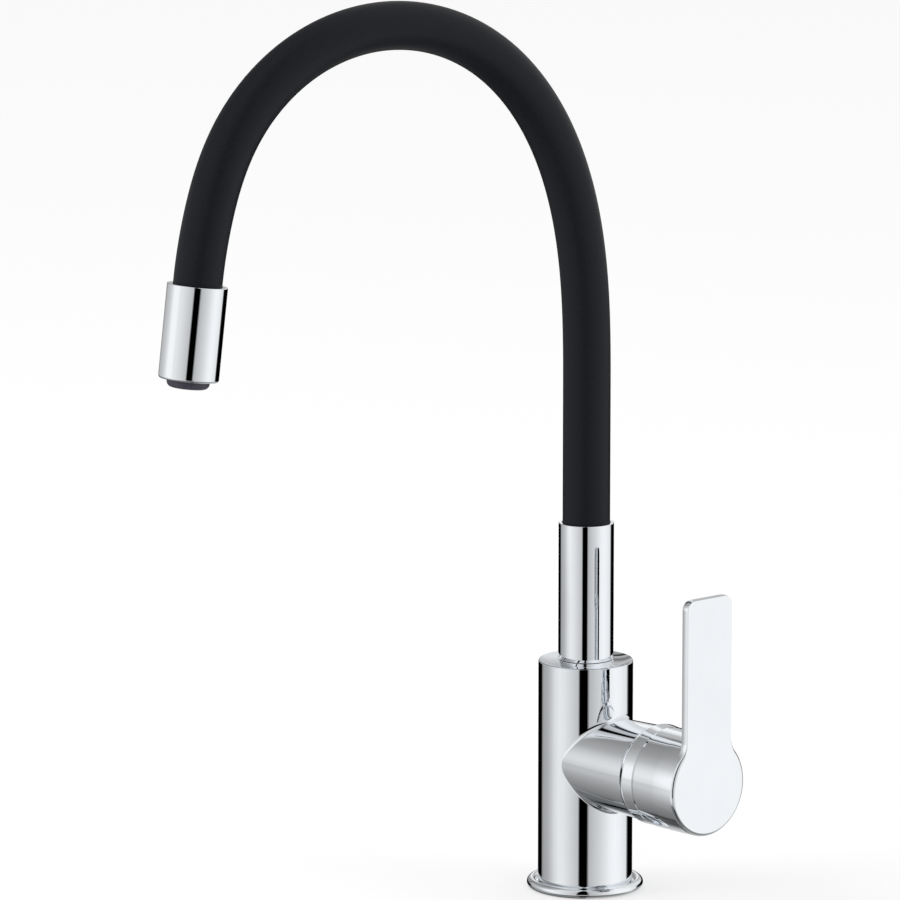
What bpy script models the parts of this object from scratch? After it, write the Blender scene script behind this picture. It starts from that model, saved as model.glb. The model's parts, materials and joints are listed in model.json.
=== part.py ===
"""Flexible kitchen faucet: single-lever mixer with a swivelling riser and a bendable hose.

Metres, +Z up. The origin is the centre of the foot on the worktop. The side branch with the lever
points along +X and the user stands at -Y. The spout is drawn in a frame that turns about the body's
axis, and the outlet head in a frame at the end of the hose, whose Z axis runs with the flow.
"""

import math

import bmesh
import bpy
from mathutils import Matrix, Vector

# Fits
GAP = 0.0003
OVERRUN = 0.002
OVERLAP = 0.001
BORE_OVERLAP = 0.001

# Facets
FINE_SIDES = 36
PART_SIDES = 28
SMALL_SIDES = 16
PIN_SIDES = 12
HOSE_SIDES = 16
CORE_SIDES = 8
HEX_SIDES = 6
ARC_STEP = math.radians(12)
FACE_STEPS = 36
LIP_STEPS = 10
ROUND_STEPS = 3
ORING_STEPS = 6
SHARP_ANGLE = math.radians(32)

# Body
BODY_RADIUS = 0.024
BODY_TOP_Z = 0.1177
BODY_EDGE = 0.0004
SPIGOT_INSET = 0.0053
SPIGOT_RADIUS = BODY_RADIUS - SPIGOT_INSET
DISH_LAND = 0.0004
DISH_DEPTH = 0.004
DISH_FLOOR_RADIUS = 0.0152

# Foot ring
FLANGE_WIDTH = 0.006
FLANGE_RADIUS = BODY_RADIUS + FLANGE_WIDTH
FLANGE_LIP_RADIUS = 0.0029
FLANGE_SEAT_Z = 0.0032
GASKET_SETBACK = 0.0043
GASKET_WIDTH = 0.0049
GASKET_OUTER_RADIUS = FLANGE_RADIUS - GASKET_SETBACK
GASKET_INNER_RADIUS = GASKET_OUTER_RADIUS - GASKET_WIDTH
GASKET_HEIGHT = 0.0013

# Ports in the underside
INLET_SETOFF = 0.004
INLET_THREAD_RADIUS = 0.0046
INLET_THREAD_DEPTH = 0.015
STUD_SETBACK = 0.0105
STUD_HOLE_RADIUS = 0.0034
STUD_HOLE_DEPTH = 0.018

# Branch, along +X from the body's axis
BRANCH_Z = 0.06765
BRANCH_ROOT_INSET = 0.0013
BRANCH_ROOT_RADIUS = BODY_RADIUS - BRANCH_ROOT_INSET
BRANCH_END_RADIUS = 0.0243
BRANCH_END_X = 0.05135
BRANCH_EDGE = 0.0003
CHAMBER_FLOOR_X = 0.012
CHAMBER_RADIUS = 0.0178
CHAMBER_END_X = 0.0408
NUT_THREAD_RADIUS = 0.0198
NUT_THREAD_END_X = 0.047
MOUTH_RADIUS = 0.022

# Waterways
PORT_CIRCLE_RADIUS = 0.0074
PORT_RADIUS = 0.0025
OUTLET_SETBACK = 0.004

# Cartridge
CARTRIDGE_PLAY = 0.0004
SEAL_OUTER_RADIUS = 0.0043
SEAL_INNER_RADIUS = 0.0031
SEAL_HEIGHT = 0.0018
BASE_LIFT = 0.0008
BASE_THICKNESS = 0.0047
FIXED_DISC_RADIUS = 0.0132
FIXED_DISC_THICKNESS = 0.0035
MOVING_DISC_RADIUS = 0.0117
MOVING_DISC_THICKNESS = 0.003
MOVING_DISC_OFFSET = 0.00157
DISC_CAVITY_WIDTH = 0.0096
DISC_CAVITY_LENGTH = 0.0101
DISC_CAVITY_DEPTH = 0.0016
CARRIER_THICKNESS = 0.005
CARRIER_POCKET_RADIUS = 0.0028
CARRIER_FLOOR = 0.0007
HOUSING_BORE_RADIUS = 0.0136
HOUSING_TOP_X = 0.041
HOUSING_TOP_THICKNESS = 0.0024
HOUSING_NECK_RADIUS = 0.0126
HOUSING_NECK_LENGTH = 0.0035
ROTOR_NECK_RADIUS = 0.0099
ROTOR_SLOT_WIDTH = 0.0058
ROTOR_SLOT_BELOW = 0.0083
ROTOR_SLOT_ABOVE = 0.005
PIN_RADIUS = 0.0014
PIN_INSET = 0.0006
NUT_PLAY = 0.0004
NUT_LENGTH = 0.0052
NUT_SLOT_WIDTH = 0.004
NUT_SLOT_DEPTH = 0.002

# Stem and lever; the stem tilts on its pin at the pivot
PIVOT_X = 0.036
STEM_BALL_RADIUS = 0.0023
STEM_BALL_REACH = 0.0077
STEM_NECK_RADIUS = 0.0017
STEM_BLADE_WIDTH = 0.0052
STEM_RADIUS = 0.0033
STEM_HUB_RADIUS = 0.0033
STEM_BLADE_TOP = 0.0128
STEM_SQUARE_WIDTH = 0.0068
STEM_SQUARE_LENGTH = 0.0119
DOME_RADIUS = 0.0285
DOME_WALL = 0.0014
DOME_HOLE_RADIUS = 0.0148
DOME_SKIRT_WALL = 0.0014
LEVER_CLEARANCE = 0.0004
LEVER_SEAM = 0.0004
LEVER_RIM_STEP = 0.0001
LEVER_RIM_RADIUS = BRANCH_END_RADIUS + LEVER_RIM_STEP
LEVER_BARREL_RADIUS = 0.0253
LEVER_FLARE_END_X = 0.059
FACE_LIP = 0.0001
FACE_RADIUS = LEVER_BARREL_RADIUS + FACE_LIP
FACE_X = 0.0912
FACE_EDGE = 0.001
FACE_FILLET = 0.012
PADDLE_THICKNESS = 0.0042
PADDLE_WIDTH = 0.0304
PADDLE_TOP = 0.0968
PADDLE_CORNER_RADIUS = 0.005
PADDLE_BACK_EDGE = 0.0006
SOCKET_PLAY = 0.0003
SOCKET_END_GAP = 0.0008
LEVER_SCREW_RADIUS = 0.002
LEVER_SCREW_LENGTH = 0.008
LEVER_SCREW_SHARE = 0.5
PLUG_RADIUS = 0.0027
PLUG_LENGTH = 0.0034
PLUG_SINK = 0.0002
HEX_RADIUS_SHARE = 0.55
HEX_DEPTH = 0.0024

# Swivel of the spout
SPOUT_TURN = math.radians(-10)
SOCKET_RADIUS = 0.0113
SOCKET_FLOOR_Z = 0.092
BUSH_SEAT_RADIUS = 0.0124
BUSH_HEIGHT = 0.0037
TAIL_RADIUS = 0.0109
TAIL_BORE_RADIUS = 0.0052
TAIL_LIFT = 0.0005
TAIL_HEAD_LENGTH = 0.0073
ORING_SECTION_RADIUS = 0.00105
ORING_LOWER_Z = 0.096
ORING_UPPER_Z = 0.106
SCREW_GROOVE_Z = 0.101
SCREW_GROOVE_WIDTH = 0.0036
SCREW_GROOVE_DEPTH = 0.0022
RETAINING_SCREW_RADIUS = 0.0018
RETAINING_TIP_RADIUS = 0.0013
RETAINING_SINK = 0.0008
COLLAR_FOOT_RADIUS = 0.0125
COLLAR_CHAMFER_HEIGHT = 0.0028
COLLAR_TOP_Z = 0.1184

# Riser and the hose inside it
RISER_RADIUS = 0.014
RISER_TOP_Z = 0.18885
RISER_EDGE = 0.0004
HOSE_RADIUS = 0.012
HOSE_BORE_RADIUS = 0.0093
CORE_RADIUS = 0.009
CORE_BORE_RADIUS = 0.007
WATER_HOSE_RADIUS = 0.0063
WATER_HOSE_BORE_RADIUS = 0.0045
FERRULE_RADIUS = 0.0119
FERRULE_THICKNESS = 0.005
FERRULE_BORE_RADIUS = 0.003
NIPPLE_PLAY = 0.0006
LOWER_NIPPLE_LENGTH = 0.019
UPPER_NIPPLE_LENGTH = 0.010

# Centre line of the hose above the riser: straight run, ease-in, crown, ease-out and leg
HOSE_STRAIGHT = 0.064
HOSE_EASE_IN = 0.192
HOSE_CROWN = 0.168
HOSE_EASE_OUT = 0.040
HOSE_LEG = 0.0324
CROWN_RADIUS = 0.101
LEG_RADIUS = 0.249
HOSE_STATION = 0.022
HOSE_SUBSTEPS = 16

# Outlet head, along the flow from its upper rim
HEAD_RADIUS = 0.0148
HEAD_LENGTH = 0.0463
HEAD_TOP_EDGE = 0.0004
HEAD_BOTTOM_EDGE = 0.0015
HEAD_SOCKET_DEPTH = 0.014
HEAD_WATERWAY_RADIUS = 0.0095
NOZZLE_SEAT_DEPTH = 0.0128
HEAD_SHOULDER = HEAD_LENGTH - NOZZLE_SEAT_DEPTH
NOZZLE_SEAT_RADIUS = 0.0112
NOZZLE_RADIUS = 0.0109
NOZZLE_LIP_RADIUS = 0.0105
NOZZLE_PROUD = 0.004
NOZZLE_ROUND = 0.0022
NOZZLE_MOUTH_RADIUS = 0.0074
NOZZLE_BORE_RADIUS = 0.0093
NOZZLE_LIP_THICKNESS = 0.0014
INSERT_HEIGHT = 0.006
INSERT_HOLE_RADIUS = 0.0009
INSERT_HOLE_PITCH = 0.0028
INSERT_RINGS = 1
AERATOR_GASKET_THICKNESS = 0.0016
AERATOR_GASKET_INNER_RADIUS = 0.0075

ALONG_X = (0, math.pi / 2, 0)
TO_REAR = (-math.pi / 2, 0, 0)
DOWN = (math.pi, 0, 0)

CHROME = ((0.86, 0.87, 0.89), 0.06, 1.0)
BRASS = ((0.72, 0.55, 0.28), 0.3, 1.0)
STEEL = ((0.62, 0.62, 0.63), 0.3, 1.0)
RUBBER = ((0.03, 0.03, 0.03), 0.7, 0.0)
SILICONE = ((0.016, 0.018, 0.022), 0.45, 0.0)
WHITE_PLASTIC = ((0.8, 0.8, 0.78), 0.4, 0.0)
GREY_PLASTIC = ((0.07, 0.065, 0.08), 0.4, 0.0)
CERAMIC = ((0.85, 0.84, 0.8), 0.2, 0.0)


def material(name, colour, roughness, metallic):
    """A plain Principled material."""
    made = bpy.data.materials.new(name)
    made.use_nodes = True
    shader = made.node_tree.nodes["Principled BSDF"]
    shader.inputs["Base Color"].default_value = (*colour, 1)
    shader.inputs["Roughness"].default_value = roughness
    shader.inputs["Metallic"].default_value = metallic
    return made


def put(name, data, parent=None, location=(0, 0, 0), rotation=(0, 0, 0)):
    """Links one object, or an empty where data is None, at its place under its parent."""
    made = bpy.data.objects.new(name, data)
    bpy.context.collection.objects.link(made)
    made.parent = parent
    made.location = location
    made.rotation_euler = rotation
    return made


def piece(mesh, look, **place):
    """A sub-part named like its mesh, with a material of its own."""
    mesh.materials.append(material(mesh.name + "_look", *look))
    return put(mesh.name, mesh, **place)


def guide(mesh, **place):
    """A wire-drawn shape that is only there to cut or to be joined on."""
    made = put(mesh.name, mesh, **place)
    made.hide_render = True
    made.display_type = "WIRE"
    return made


def shape(target, guides, operation="DIFFERENCE"):
    """Cuts guides out of an object, or joins them on, in one exact Boolean."""
    tools = bpy.data.collections.new(f"{target.name}_{operation.lower()}")
    for tool in guides:
        tools.objects.link(tool)
    step = target.modifiers.new(tools.name, "BOOLEAN")
    step.operation = operation
    step.solver = "EXACT"
    step.operand_type = "COLLECTION"
    step.collection = tools


def finish_mesh(name, made):
    """Turns a bmesh into a mesh with outward faces, smooth but for its sharp edges."""
    bmesh.ops.recalc_face_normals(made, faces=made.faces)
    mesh = bpy.data.meshes.new(name)
    made.to_mesh(mesh)
    made.free()
    mesh.shade_smooth()
    mesh.set_sharp_from_angle(angle=SHARP_ANGLE)
    return mesh


def arc(centre_r, centre_h, radius, start, end, steps=None):
    """Profile points of an arc, both ends included; angles run from outwards towards up."""
    steps = steps or max(1, math.ceil(abs(end - start) / ARC_STEP))
    angles = [start + (end - start) * i / steps for i in range(steps + 1)]
    return [(centre_r + radius * math.cos(a), centre_h + radius * math.sin(a)) for a in angles]


def turned(name, profile, sides=PART_SIDES):
    """A mesh turned about Z from a closed profile of (radius, height) points; flat ends are one face."""
    made = bmesh.new()
    turn = [2 * math.pi * i / sides for i in range(sides)]
    rows = []
    for radius, height in profile:
        places = [(radius * math.cos(a), radius * math.sin(a), height) for a in turn]
        rows.append([made.verts.new(p) for p in (places if radius > 0 else places[:1])])
    for row, after in zip(rows, rows[1:] + rows[:1]):
        flat = row[0].co.z == after[0].co.z
        if len(row) == 1 and len(after) == 1:
            continue
        if flat and len(row) != len(after):
            made.faces.new(max(row, after, key=len))
            continue
        for i in range(sides):
            j = i + 1
            here = (row[i % len(row)], row[j % len(row)])
            there = (after[j % len(after)], after[i % len(after)])
            made.faces.new(list(dict.fromkeys(here + there)))
    loose = [point for point in made.verts if not point.link_faces]
    bmesh.ops.delete(made, geom=loose, context="VERTS")
    return finish_mesh(name, made)


def ring(name, inner, outer, low, high, sides=PART_SIDES):
    """A plain ring about Z."""
    return turned(name, [(inner, low), (outer, low), (outer, high), (inner, high)], sides)


def rod(name, radius, low, high, sides=SMALL_SIDES):
    """A plain round bar along Z."""
    return ring(name, 0, radius, low, high, sides)


def lofted(name, sections):
    """A closed mesh through sections of equal point count, with flat ends."""
    made = bmesh.new()
    rows = [[made.verts.new(p) for p in section] for section in sections]
    count = len(rows[0])
    for row, after in zip(rows, rows[1:]):
        for i in range(count):
            j = (i + 1) % count
            made.faces.new((row[i], row[j], after[j], after[i]))
    made.faces.new(rows[0])
    made.faces.new(rows[-1])
    return finish_mesh(name, made)


def prism(name, outline, low, high):
    """A closed mesh from an outline of (x, y) points between two heights."""
    return lofted(name, [[(x, y, h) for x, y in outline] for h in (low, high)])


def block(name, width, depth, low, high):
    """A box centred on Z."""
    x, y = width / 2, depth / 2
    return prism(name, [(-x, -y), (x, -y), (x, y), (-x, y)], low, high)


def branch_place(y=0, z=0):
    """Place of a piece turned along the branch, beside the branch's axis."""
    return {"location": (0, y, BRANCH_Z + z), "rotation": ALONG_X}


def ports():
    """Port names with their place beside the branch's axis: two inlets above, the outlet below."""
    angles = {"inlet_front": 150, "inlet_rear": 30, "outlet": 270}
    turns = {name: math.radians(angle) for name, angle in angles.items()}
    return [
        (name, PORT_CIRCLE_RADIUS * math.cos(a), PORT_CIRCLE_RADIUS * math.sin(a))
        for name, a in turns.items()
    ]


def foot():
    """Foot ring with its half-round lip, and the gasket in its groove."""
    bore = SPIGOT_RADIUS + GAP
    inside = BODY_RADIUS + GAP
    groove_top = GASKET_HEIGHT + GAP
    centre = FLANGE_RADIUS - FLANGE_LIP_RADIUS
    lip_end = math.acos((inside - centre) / FLANGE_LIP_RADIUS)
    profile = [(bore, 0), (GASKET_INNER_RADIUS - GAP, 0), (GASKET_INNER_RADIUS - GAP, groove_top)]
    profile += [(GASKET_OUTER_RADIUS + GAP, groove_top), (GASKET_OUTER_RADIUS + GAP, 0)]
    profile += arc(centre, FLANGE_LIP_RADIUS, FLANGE_LIP_RADIUS, -math.pi / 2, lip_end, LIP_STEPS)
    profile += [(inside, FLANGE_SEAT_Z), (bore, FLANGE_SEAT_Z)]
    piece(turned("base_flange", profile, FINE_SIDES), CHROME)
    piece(ring("base_gasket", GASKET_INNER_RADIUS, GASKET_OUTER_RADIUS, 0, GASKET_HEIGHT), RUBBER)


def mixer_body():
    """Upright tube with the side branch, cartridge chamber, spout socket and waterways."""
    foot_z = FLANGE_SEAT_Z + GAP
    dish_z = BODY_TOP_Z - DISH_DEPTH
    rim = BODY_RADIUS - BODY_EDGE
    profile = [(0, 0), (SPIGOT_RADIUS, 0), (SPIGOT_RADIUS, foot_z), (rim, foot_z)]
    profile += [(BODY_RADIUS, foot_z + BODY_EDGE), (BODY_RADIUS, BODY_TOP_Z - BODY_EDGE), (rim, BODY_TOP_Z)]
    profile += [(rim - DISH_LAND, BODY_TOP_Z), (DISH_FLOOR_RADIUS, dish_z), (0, dish_z)]
    body = piece(turned("mixer_body", profile, FINE_SIDES), CHROME)

    branch = [(0, 0), (BRANCH_ROOT_RADIUS, 0), (BRANCH_END_RADIUS, BRANCH_END_X - BRANCH_EDGE)]
    branch += [(BRANCH_END_RADIUS - BRANCH_EDGE, BRANCH_END_X), (0, BRANCH_END_X)]
    shape(body, [guide(turned("branch_form", branch, FINE_SIDES), **branch_place())], "UNION")

    opening_x = BRANCH_END_X + OVERRUN
    chamber = [(0, CHAMBER_FLOOR_X), (CHAMBER_RADIUS, CHAMBER_FLOOR_X), (CHAMBER_RADIUS, CHAMBER_END_X)]
    chamber += [(NUT_THREAD_RADIUS, CHAMBER_END_X), (NUT_THREAD_RADIUS, NUT_THREAD_END_X)]
    chamber += [(MOUTH_RADIUS, NUT_THREAD_END_X), (MOUTH_RADIUS, opening_x), (0, opening_x)]
    cuts = [guide(turned("chamber_cut", chamber, FINE_SIDES), **branch_place())]

    bush_z = dish_z - BUSH_HEIGHT
    socket = [(0, SOCKET_FLOOR_Z), (SOCKET_RADIUS, SOCKET_FLOOR_Z), (SOCKET_RADIUS, bush_z)]
    socket += [(BUSH_SEAT_RADIUS, bush_z), (BUSH_SEAT_RADIUS, dish_z + OVERRUN), (0, dish_z + OVERRUN)]
    cuts.append(guide(turned("socket_cut", socket)))

    for name, y, z in ports():
        upright_x = -OUTLET_SETBACK if name == "outlet" else INLET_SETOFF
        behind = upright_x - BORE_OVERLAP
        cross = rod(name + "_cross_cut", PORT_RADIUS, behind, CHAMBER_FLOOR_X + OVERRUN, PIN_SIDES)
        cuts.append(guide(cross, **branch_place(y, z)))
        if name == "outlet":
            below = BRANCH_Z + z - BORE_OVERLAP
            upright = rod("outlet_upright_cut", PORT_RADIUS, below, SOCKET_FLOOR_Z + OVERRUN, PIN_SIDES)
        else:
            above = BRANCH_Z + z + BORE_OVERLAP
            bore = [(0, -OVERRUN), (INLET_THREAD_RADIUS, -OVERRUN), (INLET_THREAD_RADIUS, INLET_THREAD_DEPTH)]
            bore += [(PORT_RADIUS, INLET_THREAD_DEPTH), (PORT_RADIUS, above), (0, above)]
            upright = turned(name + "_upright_cut", bore, PIN_SIDES)
        cuts.append(guide(upright, location=(upright_x, y, 0)))

    stud = rod("stud_cut", STUD_HOLE_RADIUS, -OVERRUN, STUD_HOLE_DEPTH)
    cuts.append(guide(stud, location=(-STUD_SETBACK, 0, 0)))
    screw_hole = RETAINING_SCREW_RADIUS + GAP
    screw = rod("retaining_cut", screw_hole, SOCKET_RADIUS - OVERRUN, BODY_RADIUS + OVERRUN)
    cuts.append(guide(screw, location=(0, 0, SCREW_GROOVE_Z), rotation=TO_REAR))
    shape(body, cuts)


def grub_screw(name, profile, head, radius, **place):
    """A headless screw along Z with a hexagon recess in its outer end."""
    screw = piece(turned(name, profile, PIN_SIDES), STEEL, **place)
    recess = rod(name + "_hex_cut", radius * HEX_RADIUS_SHARE, head - HEX_DEPTH, head + OVERRUN, HEX_SIDES)
    shape(screw, [guide(recess, **place)])


def spout_retaining_screw():
    """Grub screw in the rear of the body, whose tip runs in the tail's groove."""
    tip = TAIL_RADIUS - SCREW_GROOVE_DEPTH + GAP
    shoulder = SOCKET_RADIUS + GAP
    head = BODY_RADIUS - RETAINING_SINK
    profile = [(0, tip), (RETAINING_TIP_RADIUS, tip), (RETAINING_TIP_RADIUS, shoulder)]
    profile += [(RETAINING_SCREW_RADIUS, shoulder), (RETAINING_SCREW_RADIUS, head), (0, head)]
    place = {"location": (0, 0, SCREW_GROOVE_Z), "rotation": TO_REAR}
    grub_screw("spout_retaining_screw", profile, head, RETAINING_SCREW_RADIUS, **place)


def cartridge_heights():
    """Heights along the branch where the cartridge's stacked pieces start."""
    base = CHAMBER_FLOOR_X + BASE_LIFT
    fixed = base + BASE_THICKNESS + GAP
    moving = fixed + FIXED_DISC_THICKNESS + GAP
    carrier = moving + MOVING_DISC_THICKNESS + GAP
    rotor = carrier + CARRIER_THICKNESS + GAP
    return base, fixed, moving, carrier, rotor


def cartridge():
    """Pieces of the cartridge that stay put: seals, port plate, ported disc and housing."""
    base_x, fixed_x, *_ = cartridge_heights()
    outside = CHAMBER_RADIUS - CARTRIDGE_PLAY
    base_end = base_x + BASE_THICKNESS
    fixed_end = fixed_x + FIXED_DISC_THICKNESS
    base = rod("cartridge_base", outside, base_x, base_end, PART_SIDES)
    disc = rod("ceramic_disc_fixed", FIXED_DISC_RADIUS, fixed_x, fixed_end, PART_SIDES)
    seal_x = CHAMBER_FLOOR_X + GAP
    seal_end = seal_x + SEAL_HEIGHT
    pocket_x = seal_end + GAP
    pocket_radius = SEAL_OUTER_RADIUS + GAP
    pockets = []
    holes = []
    for name, y, z in ports():
        place = branch_place(y, z)
        pocket = [(0, CHAMBER_FLOOR_X), (pocket_radius, CHAMBER_FLOOR_X), (pocket_radius, pocket_x)]
        pocket += [(PORT_RADIUS, pocket_x), (PORT_RADIUS, fixed_x), (0, fixed_x)]
        pockets.append(guide(turned(name + "_pocket_cut", pocket, PIN_SIDES), **place))
        hole = rod(name + "_disc_cut", PORT_RADIUS, base_x, fixed_end + OVERRUN, PIN_SIDES)
        holes.append(guide(hole, **place))
        seal = ring(name + "_seal", SEAL_INNER_RADIUS, SEAL_OUTER_RADIUS, seal_x, seal_end, PIN_SIDES)
        piece(seal, RUBBER, **place)
    shape(piece(base, WHITE_PLASTIC, **branch_place()), pockets)
    shape(piece(disc, CERAMIC, **branch_place()), holes)

    neck_end = HOUSING_TOP_X + HOUSING_NECK_LENGTH
    ceiling = HOUSING_TOP_X - HOUSING_TOP_THICKNESS
    hole = ROTOR_NECK_RADIUS + GAP
    profile = [(HOUSING_BORE_RADIUS, fixed_x), (outside, fixed_x), (outside, HOUSING_TOP_X)]
    profile += [(HOUSING_NECK_RADIUS, HOUSING_TOP_X), (HOUSING_NECK_RADIUS, neck_end), (hole, neck_end)]
    profile += [(hole, ceiling), (HOUSING_BORE_RADIUS, ceiling)]
    piece(turned("cartridge_housing", profile), WHITE_PLASTIC, **branch_place())


def nut_and_dome():
    """Ring nut that clamps the cartridge, and the dome that the lever's rim rides over."""
    nut_x = HOUSING_TOP_X + GAP
    nut_end = nut_x + NUT_LENGTH
    inner = HOUSING_NECK_RADIUS + NUT_PLAY
    nut = ring("cartridge_nut", inner, NUT_THREAD_RADIUS - GAP, nut_x, nut_end)
    floor = nut_end - NUT_SLOT_DEPTH
    slot = block("nut_slot_cut", NUT_SLOT_WIDTH, NUT_THREAD_RADIUS * 2, floor, nut_end + OVERRUN)
    shape(piece(nut, BRASS, **branch_place()), [guide(slot, **branch_place())])

    skirt = MOUTH_RADIUS - GAP
    skirt_inner = skirt - DOME_SKIRT_WALL
    skirt_x = NUT_THREAD_END_X + GAP
    brim_x = BRANCH_END_X + GAP
    hollow = DOME_RADIUS - DOME_WALL
    brim_angle = math.acos((brim_x - PIVOT_X) / DOME_RADIUS)
    hole_angle = math.asin(DOME_HOLE_RADIUS / DOME_RADIUS)
    hole_angle_inside = math.asin(DOME_HOLE_RADIUS / hollow)
    skirt_angle = math.asin(skirt_inner / hollow)
    profile = [(skirt_inner, skirt_x), (skirt, skirt_x), (skirt, brim_x)]
    profile += arc(0, PIVOT_X, DOME_RADIUS, math.pi / 2 - brim_angle, math.pi / 2 - hole_angle)
    profile += arc(0, PIVOT_X, hollow, math.pi / 2 - hole_angle_inside, math.pi / 2 - skirt_angle)
    piece(turned("dome_cap", profile, FINE_SIDES), CHROME, **branch_place())


def cartridge_rotor(axis):
    """Rotor that turns with the lever, slotted for the stem, and the steel pin through both."""
    *_, rotor_x = cartridge_heights()
    radius = HOUSING_BORE_RADIUS - GAP
    shoulder = HOUSING_TOP_X - HOUSING_TOP_THICKNESS - GAP
    top = HOUSING_TOP_X + HOUSING_NECK_LENGTH + GAP
    profile = [(0, rotor_x), (radius, rotor_x), (radius, shoulder), (ROTOR_NECK_RADIUS, shoulder)]
    profile += [(ROTOR_NECK_RADIUS, top), (0, top)]
    rotor = piece(turned("cartridge_rotor", profile), WHITE_PLASTIC, parent=axis, rotation=ALONG_X)

    half = ROTOR_SLOT_WIDTH / 2
    outline = [(-ROTOR_SLOT_ABOVE, -half), (ROTOR_SLOT_BELOW, -half)]
    outline += [(ROTOR_SLOT_BELOW, half), (-ROTOR_SLOT_ABOVE, half)]
    slot = prism("rotor_slot_cut", outline, rotor_x - OVERRUN, top + OVERRUN)
    hole = rod("rotor_pin_cut", PIN_RADIUS + GAP, -CHAMBER_RADIUS, CHAMBER_RADIUS, PIN_SIDES)
    across = {"parent": axis, "location": (PIVOT_X, 0, 0), "rotation": TO_REAR}
    shape(rotor, [guide(slot, parent=axis, rotation=ALONG_X), guide(hole, **across)])
    reach = radius - PIN_INSET
    piece(rod("stem_pin", PIN_RADIUS, -reach, reach, PIN_SIDES), STEEL, **across)


def control_disc(axis):
    """Moving disc with its cavity, and the carrier that the stem's ball drives."""
    _, _, moving_x, carrier_x, _ = cartridge_heights()
    place = {"parent": axis, "location": (0, 0, -MOVING_DISC_OFFSET), "rotation": ALONG_X}
    moving_end = moving_x + MOVING_DISC_THICKNESS
    disc = rod("ceramic_disc_moving", MOVING_DISC_RADIUS, moving_x, moving_end, PART_SIDES)
    half = DISC_CAVITY_WIDTH / 2
    near = MOVING_DISC_OFFSET - PORT_CIRCLE_RADIUS - PORT_RADIUS
    far = near + DISC_CAVITY_LENGTH
    outline = [(-near, -half), (-near, half), (-far, half), (-far, -half)]
    cavity = prism("disc_cavity_cut", outline, moving_x - OVERRUN, moving_x + DISC_CAVITY_DEPTH)
    shape(piece(disc, CERAMIC, **place), [guide(cavity, **place)])

    carrier_end = carrier_x + CARRIER_THICKNESS
    floor = carrier_x + CARRIER_FLOOR
    carrier = rod("disc_carrier", MOVING_DISC_RADIUS, carrier_x, carrier_end, PART_SIDES)
    pocket = rod("carrier_pocket_cut", CARRIER_POCKET_RADIUS, floor, carrier_end + OVERRUN)
    shape(piece(carrier, WHITE_PLASTIC, **place), [guide(pocket, parent=axis, rotation=ALONG_X)])


def keyhole(inset):
    """Outline of the lever's face as (down, across) points: a disc that runs into an upright paddle."""
    radius = FACE_RADIUS - inset
    half = PADDLE_WIDTH / 2 - inset
    corner = PADDLE_CORNER_RADIUS - inset
    fillet = FACE_FILLET + inset
    top = PADDLE_TOP - inset
    across = half + fillet
    up = math.sqrt((radius + fillet) ** 2 - across**2)
    meet = math.atan2(across, up)
    outline = arc(0, 0, radius, meet - math.pi, math.pi - meet, FACE_STEPS)
    outline += arc(-up, across, fillet, -meet, -math.pi / 2)[1:]
    outline += arc(corner - top, half - corner, corner, math.pi / 2, math.pi)
    outline += arc(corner - top, corner - half, corner, math.pi, math.pi * 3 / 2)
    outline += arc(-up, -across, fillet, math.pi / 2, meet)[:-1]
    return outline


def face_sections():
    """Sections of the lever's face plate, rounded at its front edge and a little at its back edge."""
    back = FACE_X - PADDLE_THICKNESS
    quarter = (0, math.pi / 6, math.pi / 3, math.pi / 2)
    heights = [(PADDLE_BACK_EDGE, back), (0, back + PADDLE_BACK_EDGE)]
    for angle in quarter:
        inset = FACE_EDGE - FACE_EDGE * math.cos(angle)
        heights.append((inset, FACE_X - FACE_EDGE + FACE_EDGE * math.sin(angle)))
    return [[(x, y, h) for x, y in keyhole(inset)] for inset, h in heights]


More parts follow.
